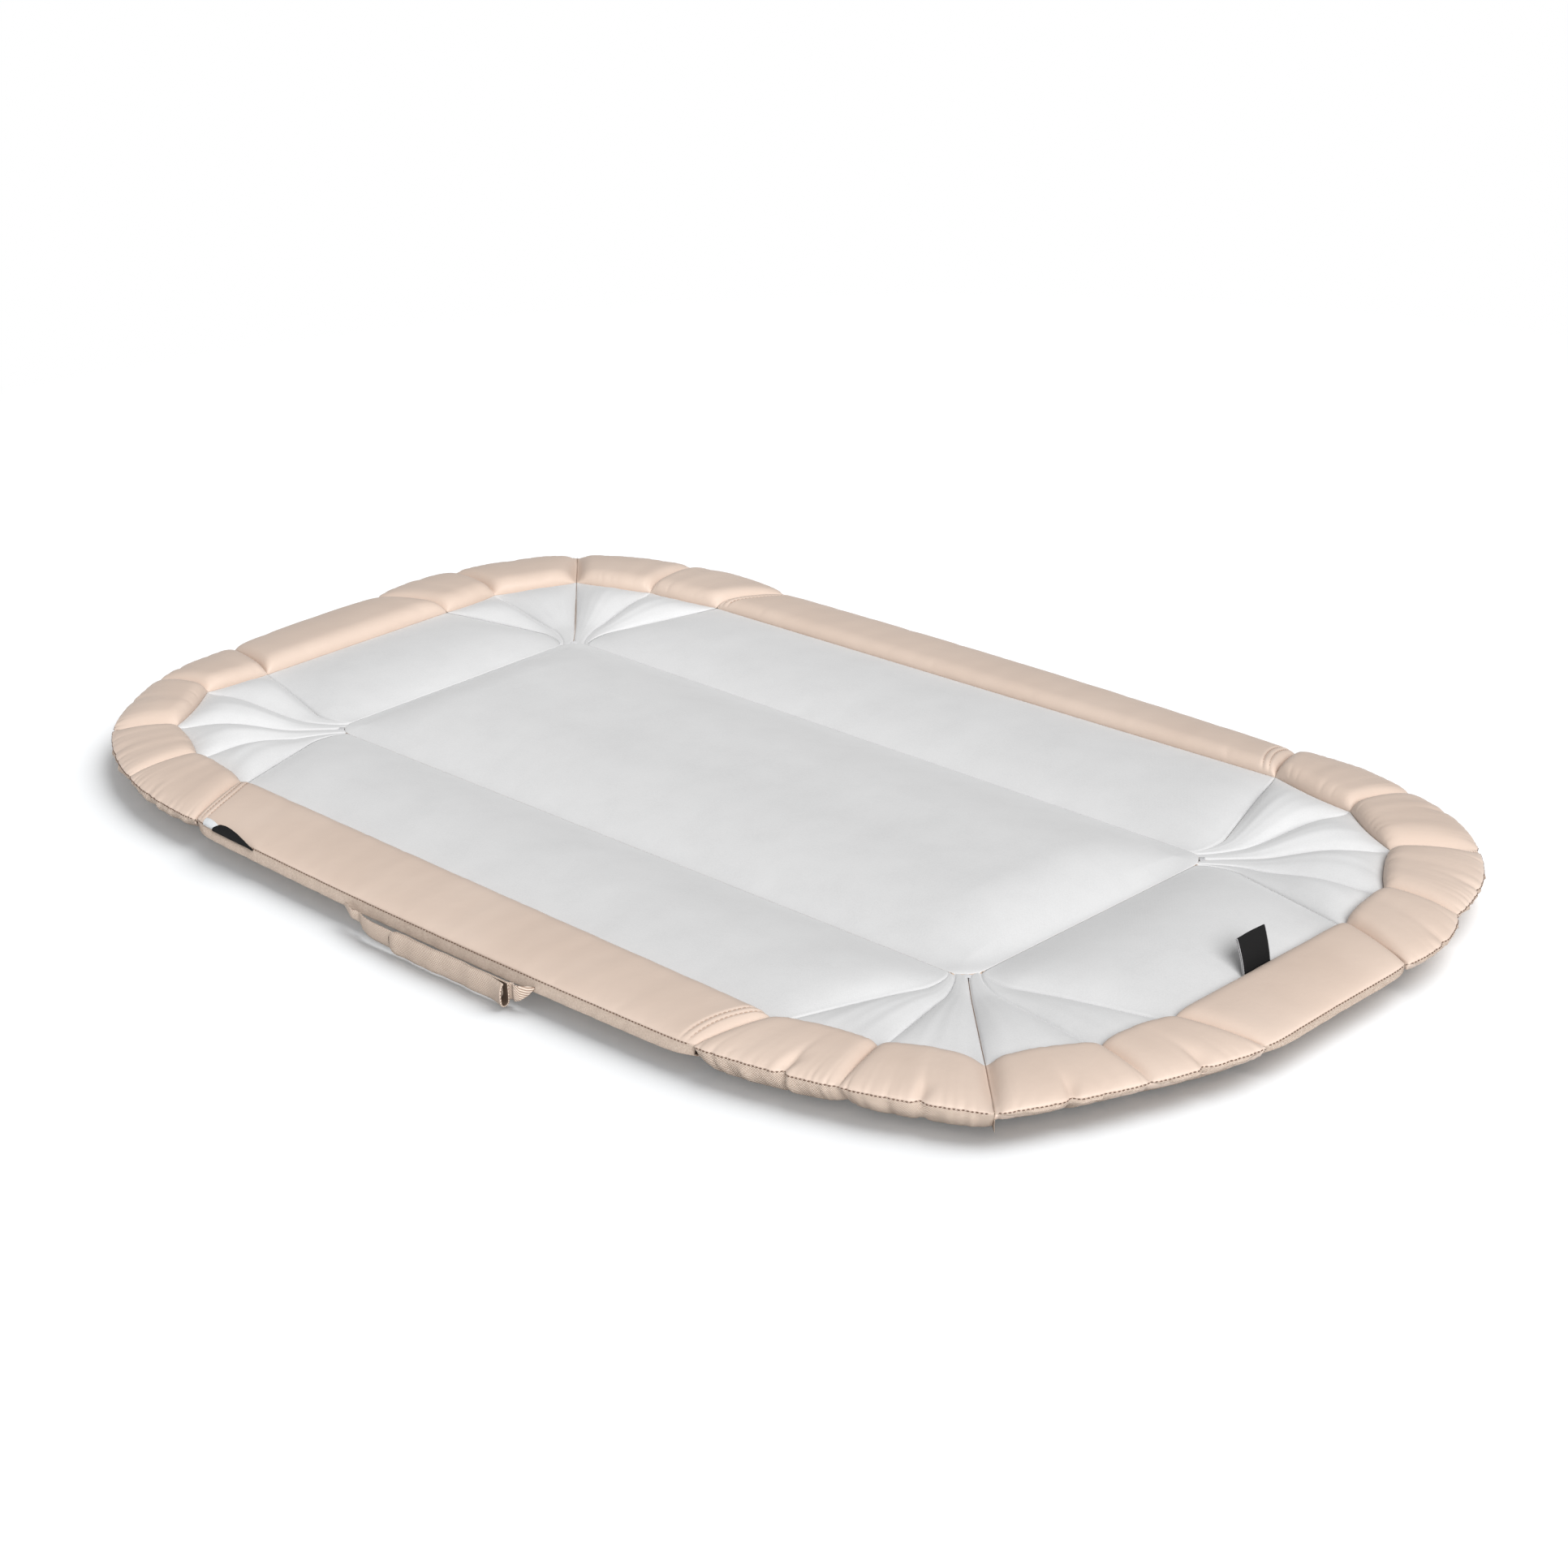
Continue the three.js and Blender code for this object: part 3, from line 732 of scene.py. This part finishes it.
def rim_surface(region, x, inner, pinch, fold=1.0):
    """Height of the rim's padding at a share x across it; pinch and fold are small at its cross seams."""
    crown = RIM_CROWN.get(region.name, RIM_CROWN_ELSEWHERE)
    return mix(seam_z(inner), SEAM_Z, x) + crown * rim_height(x) * fold * mix(RIM_PINCHED, 1, pinch)


def rim_piece(region):
    rng = region.rng
    step, close = (1.35, 0.6) if region.fan else (2.0, 0.25)
    columns = line_shares(region.lines(), region.length, step, close)
    stitched = region in LONG_WALLS
    if stitched:
        near_ends = np.arange(2.5, 16.0, 0.7) / region.length
        columns = np.unique(np.concatenate([columns, near_ends, 1 - near_ends]))
    share, t = grid(columns, np.linspace(0, 1, 35))
    x = 0.5 - 0.5 * np.cos(math.pi * t)
    white, outer = region.white(share), region.outer(share)
    inner = white + GAP / 2
    to_outer, to_inner = (1 - x) * (outer - inner), x * (outer - inner)
    h = rim_height(x)
    at_seams = region.seams(share, mix(inner, outer, x))
    pinch = clear_of(at_seams, RIM_PINCH)
    fold = soft(at_seams[2 if region.wall_first else 0], FOLD_PINCH) if region.fan else 1.0
    # the padding bulges over both long seams
    bulge = 1.6 * share_between(x, 0.6, 1) ** 2 - 1.0 * np.clip(1 - x / RIM_RIDGE, 0, 1) ** 2
    out = mix(inner, outer, x) + bulge * h ** 0.6 * pinch
    along = share * region.length
    small = gathers(rng, region.length, spacing=15.0 if region.fan else 60.0, depth=0.6, reach=6.0, width=1.5)
    crease = crease_field(region.puckers, along, to_outer) + crease_field(region.tucks, along, to_outer)
    crease = crease + crease_field(small, along, to_inner)
    if stitched:
        for from_end in (along, region.length - along):
            for inset in ROW_INSETS:
                crease = crease + ROW_DEPTH * bell(from_end - inset - ROW_BOW * arch(x), ROW_WIDTH)
    keep = np.clip(h * 1.6, 0, 1)
    height = rim_surface(region, x, white, pinch, fold) - crease * keep
    height += (0.14 if region.fan else 0.1) * ripple(rng, along, [(47, 1.0), (23, 0.6)]) * keep * pinch
    top = region.place(share, out, height)
    under = region.place(share, np.clip(out, white + 1, outer - 3), 0 * out + RIM_UNDER_Z)
    obj = pillow(region.name + "_rim_cloth", top, under, RIM_CLOTH)
    bind(obj, region.body, [region.name + "_border"])


# The lining of a corner's middle fold: below the seam, beside the fold, and short of the rim's edge
FOLD_TOP = 2.0
FOLD_SIDES = (0.08, 0.2)
FOLD_EDGE = 1.5


def fold_lining(region):
    """Twill on the side that a half corner shows in the corner's middle fold when the walls are up."""
    share = 1.0 if region.wall_first else 0.0
    line, turn = (region.last, -1) if region.wall_first else (region.first, 1)
    edge = float(region.outer(np.array(share)))
    r, up = grid(np.linspace(region.cover_tip, edge - FOLD_EDGE, 60), np.linspace(0, 1, 6))
    roll = np.clip((edge - r) / region.roll_reach, 0, 1)
    z = mix(TURN.get(region.name, TURN_ELSEWHERE) * (1 - roll) ** 2 + 0.5, seam_z(r) - FOLD_TOP, up)

    def layer(side):
        x, y = drawn_in(r, np.radians(line + turn * np.degrees(np.arcsin(side / r))), z)
        return np.stack([region.sx * (PAD_L + x), region.sy * (PAD_W + y), z], -1)
    length = (edge - FOLD_EDGE - region.cover_tip) * MM
    sheet_piece(region.name + "_twill_fold", map(layer, FOLD_SIDES), np.stack([r, z], -1), TWILL,
                region.body, [], length=length)


# A cover hangs below the rim's seam up to DROP_END of its rows, rolls under up to ROLL_END, then lies
# flat; the widths are those of its cloth
DROP_END = 0.4
ROLL_END = 0.75
ROLL_WIDTH = 60
FLAT_WIDTH = 90
LINING_TOP = 17.5


def cover_piece(region):
    """The twill cover: a sewn band under the rim's seam, a loose roll below it, then flat to the hinge."""
    step, close = (2.0, 0.5) if region.fan else (3.0, 0.25)
    columns = line_shares(region.lines(), region.length, step, close)
    rows = np.concatenate([np.linspace(0, DROP_END, 12), np.linspace(0.44, ROLL_END, 12), [0.83, 0.92, 1.0]])
    share, t = grid(columns, rows)
    along = share * region.length
    edge = region.outer(share)
    drop, roll = share_between(t, 0, DROP_END), share_between(t, DROP_END, ROLL_END)
    flat = share_between(t, ROLL_END, 1)
    pinch = clear_of(region.seams(share, edge), 8.0)
    turn = TURN.get(region.name, TURN_ELSEWHERE) + 0 * share
    if region.fan:
        turn += 1.6 * (1 - pinch)
        belly = 0.9 * arch(drop) * pinch - 5.0 * drop ** 2
        looseness = 2.3
    else:
        belly = 2.7 * np.sin(math.pi / 2 * drop)
        looseness = 0.35
    height = np.where(t > DROP_END, turn * (1 - roll) ** 2, mix(SEAM_Z - 0.4, turn, drop))
    loose = ripple(region.rng, along, [(27, 0.6), (14.5, 0.5), (9.0, 0.25)]) * pinch
    waves = looseness * loose * arch(np.clip(t / ROLL_END, 0, 1)) ** 1.2
    tuck = (1 - pinch) * 2.6 * arch(np.clip(t / 0.8, 0, 1))
    out = edge + 0.1 + belly - region.roll_reach * roll + waves - tuck
    height = np.maximum(height + 0.5 * waves * (t > 0.15) * (t < 0.7), 0.0)
    out = np.where(t > ROLL_END, mix(region.rim(share) - region.roll_reach, region.cover_tip, flat), out)
    height = np.where(t > ROLL_END, 0.0, height)
    skin = region.place(share, out, height)
    lining = np.where(t > DROP_END, np.minimum(height + COVER, LINING_TOP), height - 0.2)
    inner = region.place(share, np.maximum(out - 1.4, region.cover_tip), lining)
    uv = np.stack([along, ROLL_WIDTH * t + FLAT_WIDTH * flat], -1)
    solid = region.name + ("_cover" if region.fan else "_outer_cover")
    sheet_piece(region.name + "_twill_cover", (skin, inner), uv, TWILL,
                region.body, [solid])


def edge_stitching(region):
    """The brown thread along the sewn edge of the rim."""
    share = line_shares(region.lines(), region.length, step=1.6, close=0.3)
    share = share[(share > 0.004) & (share < 0.996)]
    path = region.place(share, region.outer(share) + 0.35, SEAM_Z - 0.15 + 0 * share)
    stitches(region.name + "_edge_stitches", path, THREAD, region.body, pitch=2.7, share=0.6, thick=0.7)


def end_topstitching(wall):
    """Two rows of stitches in the grooves of a long side's rim."""
    x = np.linspace(0.04, 0.97, 46)
    for end, base, sign in (("head", 0.0, 1), ("foot", 1.0, -1)):
        inner, outer = wall.white(base) + GAP / 2, wall.outer(np.array(base + sign * 0.02))
        out = mix(inner, outer, x)
        for row, inset in zip(("inner", "outer"), ROW_INSETS):
            share = base + sign * (inset + ROW_BOW * arch(x)) / wall.length
            pinch = soft(np.minimum(*wall.seams(share, out)), RIM_PINCH)
            path = wall.place(share, out, rim_surface(wall, x, inner, pinch) - ROW_DEPTH + 0.25)
            name = f"{wall.name}_{end}_topstitch_{row}"
            stitches(name, path, RIM_THREAD, wall.body, pitch=3.0, share=0.7, thick=0.6)


def pad_piece():
    xs = line_shares([0, 1], 2 * PAD_L, step=2.6, close=0.9) * 2 - 1
    ys = line_shares([0, 1], 2 * PAD_W, step=2.2, close=0.9) * 2 - 1
    x, y = grid(xs * (PAD_L - GAP / 2), ys * (PAD_W - GAP / 2))
    # the grid's corners slide in on to the round corners of the pad
    core_x = np.minimum(np.abs(x), PAD_L - TUFT_RADIUS)
    core_y = np.minimum(np.abs(y), PAD_W - TUFT_RADIUS)
    over_x, over_y = np.abs(x) - core_x, np.abs(y) - core_y
    square, reach = np.maximum(over_x, over_y), np.maximum(np.hypot(over_x, over_y), 1e-6)
    pull = np.where(square > 0, square / reach, 1.0)
    far_x, far_y = core_x + over_x * pull, core_y + over_y * pull
    x, y = np.sign(x) * far_x, np.sign(y) * far_y
    inside = TUFT_RADIUS - np.hypot(over_x, over_y) * pull
    from_side = np.minimum(PAD_W - far_y, inside + np.maximum(PAD_W - TUFT_RADIUS - far_y, 0))
    from_end = np.minimum(PAD_L - far_x, inside + np.maximum(PAD_L - TUFT_RADIUS - far_x, 0))
    side = np.clip(rounded(from_side, GROOVE) / (PAD_SIDE_REACH - GROOVE), 0, 1)
    end = np.clip(rounded(from_end, GROOVE) / (PAD_END_REACH - GROOVE), 0, 1)
    height = TUFT_Z + PAD_RISE * (1 - (1 - side) ** 2) * (1 - (1 - end) ** 2)
    # at each tuft the pad stands up at once from its drawn-in corner
    to_tuft = np.hypot(PAD_L - 5 - far_x, PAD_W - 5 - far_y)
    height += 1.5 * soft(inside, 3.0) * bell(to_tuft, 16.0)
    rng = np.random.default_rng(5)
    height += 0.25 * ripple(rng, x + 0.3 * y, [(150, 1.0), (83, 0.6)]) * soft(inside, 30)
    for sign in (-1, 1):
        creases = gathers(rng, 2 * PAD_L, spacing=70.0, depth=0.35, reach=22.0, width=8.0)
        height -= crease_field(creases, x + PAD_L, PAD_W - sign * y) * soft(inside, 4)
    top, under = np.stack([x, y, height], -1), np.stack([x, y, 0 * x + UNDER_Z], -1)
    obj = pillow("pad_white_cloth", top, under, JERSEY)
    second_material(obj, TWILL, max, x.size)
    bind(obj, "base", ["centre_top_panel", "centre_foam_core"])


def base_cover():
    x, y = grid(np.linspace(-1, 1, 41) * (PAD_L - GAP / 2), np.linspace(-1, 1, 17) * (PAD_W - GAP / 2))
    sides = [np.stack([x, y, 0 * x + z], -1) for z in (0, COVER)]
    sheet_piece("base_twill_cover", sides, np.stack([x, y], -1), TWILL,
                "base", ["centre_base_cover"])


TUFT_THREADS = 5
TUFT_PITCH = 0.75
TUFT_HALF = 3.2
TUFT_THICK = 0.42


def tuft_piece(corner, sx, sy):
    """Five short threads sewn side by side over the gather at the pad's corner."""
    sides = 8
    spindle = np.array([[-1, 0.2], [-0.85, 0.75], [-0.4, 1], [0, 1.05], [0.4, 1], [0.85, 0.75], [1, 0.2]])
    place = spindle[:, :1]
    inset = TUFT_RADIUS * (1 - math.sqrt(0.5)) - 1.6
    centre = np.array([PAD_L - inset, PAD_W - inset, TUFT_Z - 0.6])
    across, inward = np.array([-1, 1, 0]) / math.sqrt(2), np.array([-1, -1, 0]) / math.sqrt(2)
    up = np.array([0, 0, 1.0])
    caps = np.array([[0, 1, 2, 3], [0, 3, 4, 7], [4, 5, 6, 7]])
    verts, faces = [], []
    for k in range(TUFT_THREADS):
        start = centre + inward * (k - TUFT_THREADS // 2) * TUFT_PITCH
        line = start + across * place * TUFT_HALF + up * (0.5 - 0.5 * place ** 2)
        axes = [np.broadcast_to(axis, line.shape) for axis in (inward, up)]
        base = k * sides * len(spindle)
        verts.append(round_rings(line, *axes, TUFT_THICK * spindle[:, 1], sides).reshape(-1, 3))
        faces += [quads_of(len(spindle), sides, wrap=True) + base, caps + base,
                  caps[:, ::-1] + base + (len(spindle) - 1) * sides]
    verts = np.concatenate(verts) * [sx, sy, 1]
    faces = outward(verts, np.concatenate(faces)).tolist()
    obj = new_object(f"tuft_{corner}_threads", verts, faces, WHITE_THREAD)
    bind(obj, "base", [f"corner_tack_{corner}"])


# Handles: a strap folded into a flat tube between two narrow ends; the far one is squeezed lower
HANDLE_OUT_Y = 293.4
STRAP_HALF = 1.8
STRAP_START = -15.0
STRAP_END = 97.0
STRAP_CAP = 7
STRAP_LOW = 1.2
STRAP_TOP = 16.8
FLARE = 1.8
FLARE_LENGTH = 16
FAR_SQUEEZE = 0.6
STRAP_OUTLINE = [(-1, 0.96), (-1, 0.5), (-1, 0), (-1, -0.5), (-0.93, -0.78), (-0.6, -0.95), (0, -1),
                 (0.6, -0.95), (0.93, -0.78), (1, -0.5), (1.06, 0), (0.95, 0.5), (0.55, 0.86), (0.1, 0.99)]

# Each narrow end from the rim's seam inwards: its places along and out, its lower edges, its heights
ROOTS = {"head": ([-70, -65, -58, -51, -45, -36, -6], [284.3, 286.2, 288.6, 287.4, 290.4, 291.9, 292],
                  [13.6, 11.5, 9.5, 8.5, 6.5, 4, 3], [1.4, 4.5, 6, 7, 9, 11.5, 12]),
         "foot": ([112, 109, 105, 101, 98, 92, 80], [284.3, 286.5, 289.8, 291, 288.9, 291.9, 292],
                  [13.6, 9.5, 6, 4.5, 4.5, 3.5, 3], [1.4, 6, 9.5, 11, 11, 11.5, 12])}


def smoothed(points, rounds):
    for _ in range(rounds):
        points[1:-1] = (points[:-2] + 2 * points[1:-1] + points[2:]) / 4
    return points


def strap_body(word, side):
    """The strap's middle: a sheet bent into a U whose open top tucks in under the rim."""
    cap_end = STRAP_START + STRAP_CAP
    along = np.concatenate([STRAP_START + STRAP_CAP * (1 - np.cos(np.linspace(0, math.pi / 2, 9))),
                            np.linspace(cap_end, STRAP_END, 70)[1:]])
    grow = np.sqrt(np.clip(1 - (1 - share_between(along, STRAP_START, cap_end)) ** 2, 0.02, 1))
    rng = np.random.default_rng(61)
    sway = 0.35 * ripple(rng, along, [(46, 1.0), (19, 0.5)])
    squeeze = 1.0 if side < 0 else FAR_SQUEEZE
    # the tube opens towards the foot end
    wide = FLARE * share_between(along, STRAP_END - FLARE_LENGTH, STRAP_END) ** 1.5
    sway = sway * (along < STRAP_END - 20) + wide
    half, middle = STRAP_HALF * grow + wide, squeeze * (STRAP_LOW + STRAP_TOP) / 2
    tall = squeeze * (STRAP_TOP - STRAP_LOW) / 2 * (0.35 + 0.65 * grow)
    knots = np.arange(len(STRAP_OUTLINE))
    steps = np.linspace(0, len(STRAP_OUTLINE) - 1, 79)
    outline = np.stack([np.interp(steps, knots, column) for column in np.array(STRAP_OUTLINE).T], -1)
    outline = smoothed(outline, 24)

    def layer(inset):
        across = outline[:, 0] * (half[:, None] - inset) + sway[:, None]
        up = middle + outline[:, 1] * (tall[:, None] - inset * 0.8)
        return np.stack([along[:, None] + 0 * across, side * (HANDLE_OUT_Y + across), up], -1)
    uv = np.stack(grid(along, steps * 2.6), -1)
    obj = sheet_piece(f"handle_{word}_strap", (layer(0.0), layer(0.9)), uv, TWILL,
                      f"handle_{word}", [f"long_wall_{word}_handle"])
    # painted shade: the tube's inner layer gets the dark brown, so the mouth looks shadowed inside
    second_material(obj, STRAP_PAINTED_SHADE, min, len(obj.data.vertices) // 2)


def strap_root(word, side, end):
    """A strap end from the rim's seam into the folded middle, with a small fold in it."""
    u, knots = np.linspace(0, 1, 40), np.linspace(0, 1, len(ROOTS[end][0]))
    along, out, low, tall = (np.interp(u, knots, column)[:, None] for column in ROOTS[end])
    path = smoothed(np.concatenate([along, out], 1), 3)
    squeeze = np.interp(u, [0, 0.15], [1, 1 if side < 0 else FAR_SQUEEZE])[:, None]
    tall, low = tall * squeeze, low * squeeze
    rise = np.linspace(0, 1, 9)[None]

    def layer(inset):
        across = path[:, 1:] + 0.5 * arch(rise) + inset
        return np.stack([path[:, :1] + 0 * across, side * across, low + tall * rise], -1)
    uv = np.stack([path[:, :1] + 0 * (tall * rise), tall * rise], -1)
    sheet_piece(f"handle_{word}_root_{end}", (layer(0.55), layer(-0.55)), uv, TWILL,
                f"handle_{word}", [])


# Foot tab: a loop of tape that stands between TAB_LOW and TAB_HIGH and leans towards the middle
TAB_X = 428.6
TAB_CENTRE = -0.5
TAB_WIDTH = 25.0
TAB_LOW = 20.0
TAB_HIGH = 45.6
TAB_LEAN = 5.0
TAB_TURN = 0.06
TAB_RADIUS = 0.7
TAB_TAPE_LENGTH = 48


def rim_label(node, mat, start, width, tops, lift, lean=0.0):
    """A folded tape in the near side's edge seam, up against the rim; tops are its heights along it."""
    wall = LONG_WALLS[0]
    u, v = grid(np.linspace(0, 1, 45), np.linspace(0, 1, 15))
    along = start + width * u + lean * v
    tall = np.interp(u, np.linspace(0, 1, len(tops)), tops)
    edge = wall.outer(0.5 + along / wall.length) + lift
    out = edge + 0.9 * arch(v * 0.8) - 2.2 * v ** 2 * (tall / max(tops))
    z = SEAM_Z + 0.1 + tall * v

    def layer(extra):
        return np.stack([along, -(PAD_W + out + extra * np.sqrt(np.clip(1 - v ** 4, 0.02, 1))), z], -1)
    sheet_piece(node + "_tape", (layer(0.9), layer(0.1)), np.stack([along - start, z], -1), mat,
                wall.body, [node])


def foot_tab():
    """A strip of black tape folded double, its loop standing up from the seam at the foot end."""
    u, v = grid(np.linspace(0, 1, 31), np.linspace(0, 1, 61))
    leg = 0.5 - TAB_TURN
    in_loop = np.abs(v - 0.5) < TAB_TURN
    up = np.where(v < leg, v / leg, np.where(v > 0.5 + TAB_TURN, (1 - v) / leg, 1.0))
    angle = np.clip((v - 0.5) / TAB_TURN, -1, 1) * math.pi / 2
    side = np.where(in_loop, np.sin(angle), np.sign(v - 0.5))
    z = TAB_LOW + (TAB_HIGH - TAB_LOW - TAB_RADIUS) * up + TAB_RADIUS * np.cos(angle) * in_loop
    across = TAB_CENTRE + (u - 0.5) * TAB_WIDTH - 0.8 * up * (1 - u)
    belly = 0.6 * arch(u) * arch(up * 0.9) - TAB_LEAN * up ** 1.6 + 0.4 * np.sin(5 * u + 2 * up)

    def layer(half):
        return np.stack([TAB_X + belly - side * half, across,
                         z - (TAB_RADIUS - half) * np.cos(angle) * in_loop], -1)
    uv = np.stack([(u - 0.5) * TAB_WIDTH, v * TAB_TAPE_LENGTH], -1)
    sheet_piece("foot_tab_tape", (layer(0.75), layer(0.3)), uv, TAB_TAPE,
                "end_wall_foot", ["foot_tab"])


pad_piece()
base_cover()
for corner, (sx, sy) in CORNERS.items():
    tuft_piece(corner, sx, sy)
for region in WALLS + FANS:
    white_piece(region)
    rim_piece(region)
    cover_piece(region)
    if region.fan:
        fold_lining(region)
    edge_stitching(region)
for wall in LONG_WALLS:
    end_topstitching(wall)
for word, side in (("near", -1), ("far", 1)):
    strap_root(word, side, "head")
    strap_root(word, side, "foot")
    strap_body(word, side)
rim_label("care_label", PALE, start=-232.5, width=20.0, tops=[5.0, 5.6, 5.2, 4.0, 2.5],
          lift=0.5, lean=1.5)
rim_label("side_label", BLACK, start=-219.0, width=46.0,
          tops=[2.8, 6.0, 6.8, 6.4, 5.4, 3.8, 2.0, 0.6], lift=1.7)
foot_tab()


# Stage, light and camera, in metres and degrees; the camera is the one that fits the photograph
FLOOR_HALF = 8.0
FLOOR_DROP = 0.0003
FADE_START = 0.7
FADE_END = 1.3
FLOOR_GLOW = 0.09
SOFT_LIGHT = 0.34
KEY_SUN = 3.25
BACK_LAMP = 3.3
FLOOR_SUN = 3.3
AZIMUTH = 46.486
ELEVATION = 23.218
ROLL = -2.597
TARGET = (-0.0170, 0.0497, 0.0)
DISTANCE = 2.3568
LENS = 79.53
SENSOR = 36.0


def floor_material():
    """A pale floor; far from the object the camera sees plain white."""
    mat = Material("pale_floor")
    # painted light: the floor also glows faintly and bluish, which lifts and cools the shadows on it
    mat.feed(mat.surface, {"Base Color": (0.925, 0.93, 0.938, 1), "Roughness": 0.9, "Specular IOR Level": 0.0,
                           "Emission Color": (0.87, 1.0, 1.08, 1), "Emission Strength": FLOOR_GLOW})
    away = mat.add("VectorMath", {0: mat.place()}, "Value", operation="LENGTH")
    fade = mat.add("MapRange", {"Value": away, "From Min": FADE_START, "From Max": FADE_END})
    white = mat.add("Emission", {0: (1, 1, 1, 1)})
    output = next(n for n in mat.nodes if n.type == "OUTPUT_MATERIAL")
    mat.feed(output, {"Surface": mat.add("MixShader", {0: fade, 1: mat.surface.outputs[0], 2: white})})
    return mat.made


def floor_piece():
    mesh = bpy.data.meshes.new("floor")
    s = FLOOR_HALF
    mesh.from_pydata([(-s, -s, 0), (s, -s, 0), (s, s, 0), (-s, s, 0)], [], [(0, 1, 2, 3)])
    mesh.materials.append(floor_material())
    floor = add_object("floor", mesh)
    floor.location.z = -FLOOR_DROP
    return floor


def sky():
    """Soft light from all round, and plain white where the camera looks past the floor."""
    world = bpy.data.worlds.new("studio")
    bpy.context.scene.world = world
    world.use_nodes = True
    tree = Nodes(world.node_tree)
    tree.nodes.clear()
    all_round, plain = (tree.add("Background", {0: (1, 1, 1, 1), 1: glow}) for glow in (SOFT_LIGHT, 1.0))
    is_camera = tree.add("LightPath", {}, "Is Camera Ray")
    blend = tree.add("MixShader", {0: is_camera, 1: all_round, 2: plain})
    tree.feed(tree.nodes.new("ShaderNodeOutputWorld"), {0: blend})


def lamp(name, kind, place, strength, size, receivers):
    """A lamp that looks at the origin and lights only the receivers."""
    light = bpy.data.lights.new(name, kind)
    light.energy = strength
    if kind == "AREA":
        light.shape = "DISK"
        light.size = size
    else:
        light.angle = size
    obj = add_object(name, light)
    obj.location = place
    obj.rotation_euler = (-Vector(place)).to_track_quat("-Z", "Y").to_euler()
    obj.light_linking.receiver_collection = receivers


def lights(floor):
    """The cloth is lit from the camera's side, the floor by a broad light behind the object."""
    ground = bpy.data.collections.new("ground")
    ground.objects.link(floor)
    cloth = bpy.data.collections.new("cloth")
    for obj in bpy.context.scene.objects:
        if obj.type == "MESH" and obj is not floor:
            cloth.objects.link(obj)
    lamp("key", "SUN", (3.0, -1.55, 2.45), KEY_SUN, math.radians(34), cloth)
    lamp("back", "AREA", (-0.8, 1.8, 2.4), BACK_LAMP, 2.2, cloth)
    lamp("floor_light", "SUN", (0.25, 2.1, 2.3), FLOOR_SUN, math.radians(66), ground)


def camera():
    cam = bpy.data.cameras.new("camera")
    cam.sensor_width = SENSOR
    cam.lens = LENS
    cam.clip_end = 50
    obj = add_object("camera", cam)
    az, el, roll = math.radians(AZIMUTH), math.radians(ELEVATION), math.radians(ROLL)
    back = Vector((math.sin(az) * math.cos(el), -math.cos(az) * math.cos(el), math.sin(el)))
    right = Vector((0, 0, 1)).cross(back).normalized()
    up = back.cross(right)
    x = math.cos(roll) * right + math.sin(roll) * up
    y = -math.sin(roll) * right + math.cos(roll) * up
    place = Vector(TARGET) + back * DISTANCE
    obj.matrix_world = Matrix([(*v, w) for v, w in zip((x, y, back, place), (0, 0, 0, 1))]).transposed()
    bpy.context.scene.camera = obj
    bpy.context.scene.view_settings.view_transform = "Standard"
    bpy.context.scene.view_settings.look = "None"


sky()
lights(floor_piece())
camera()
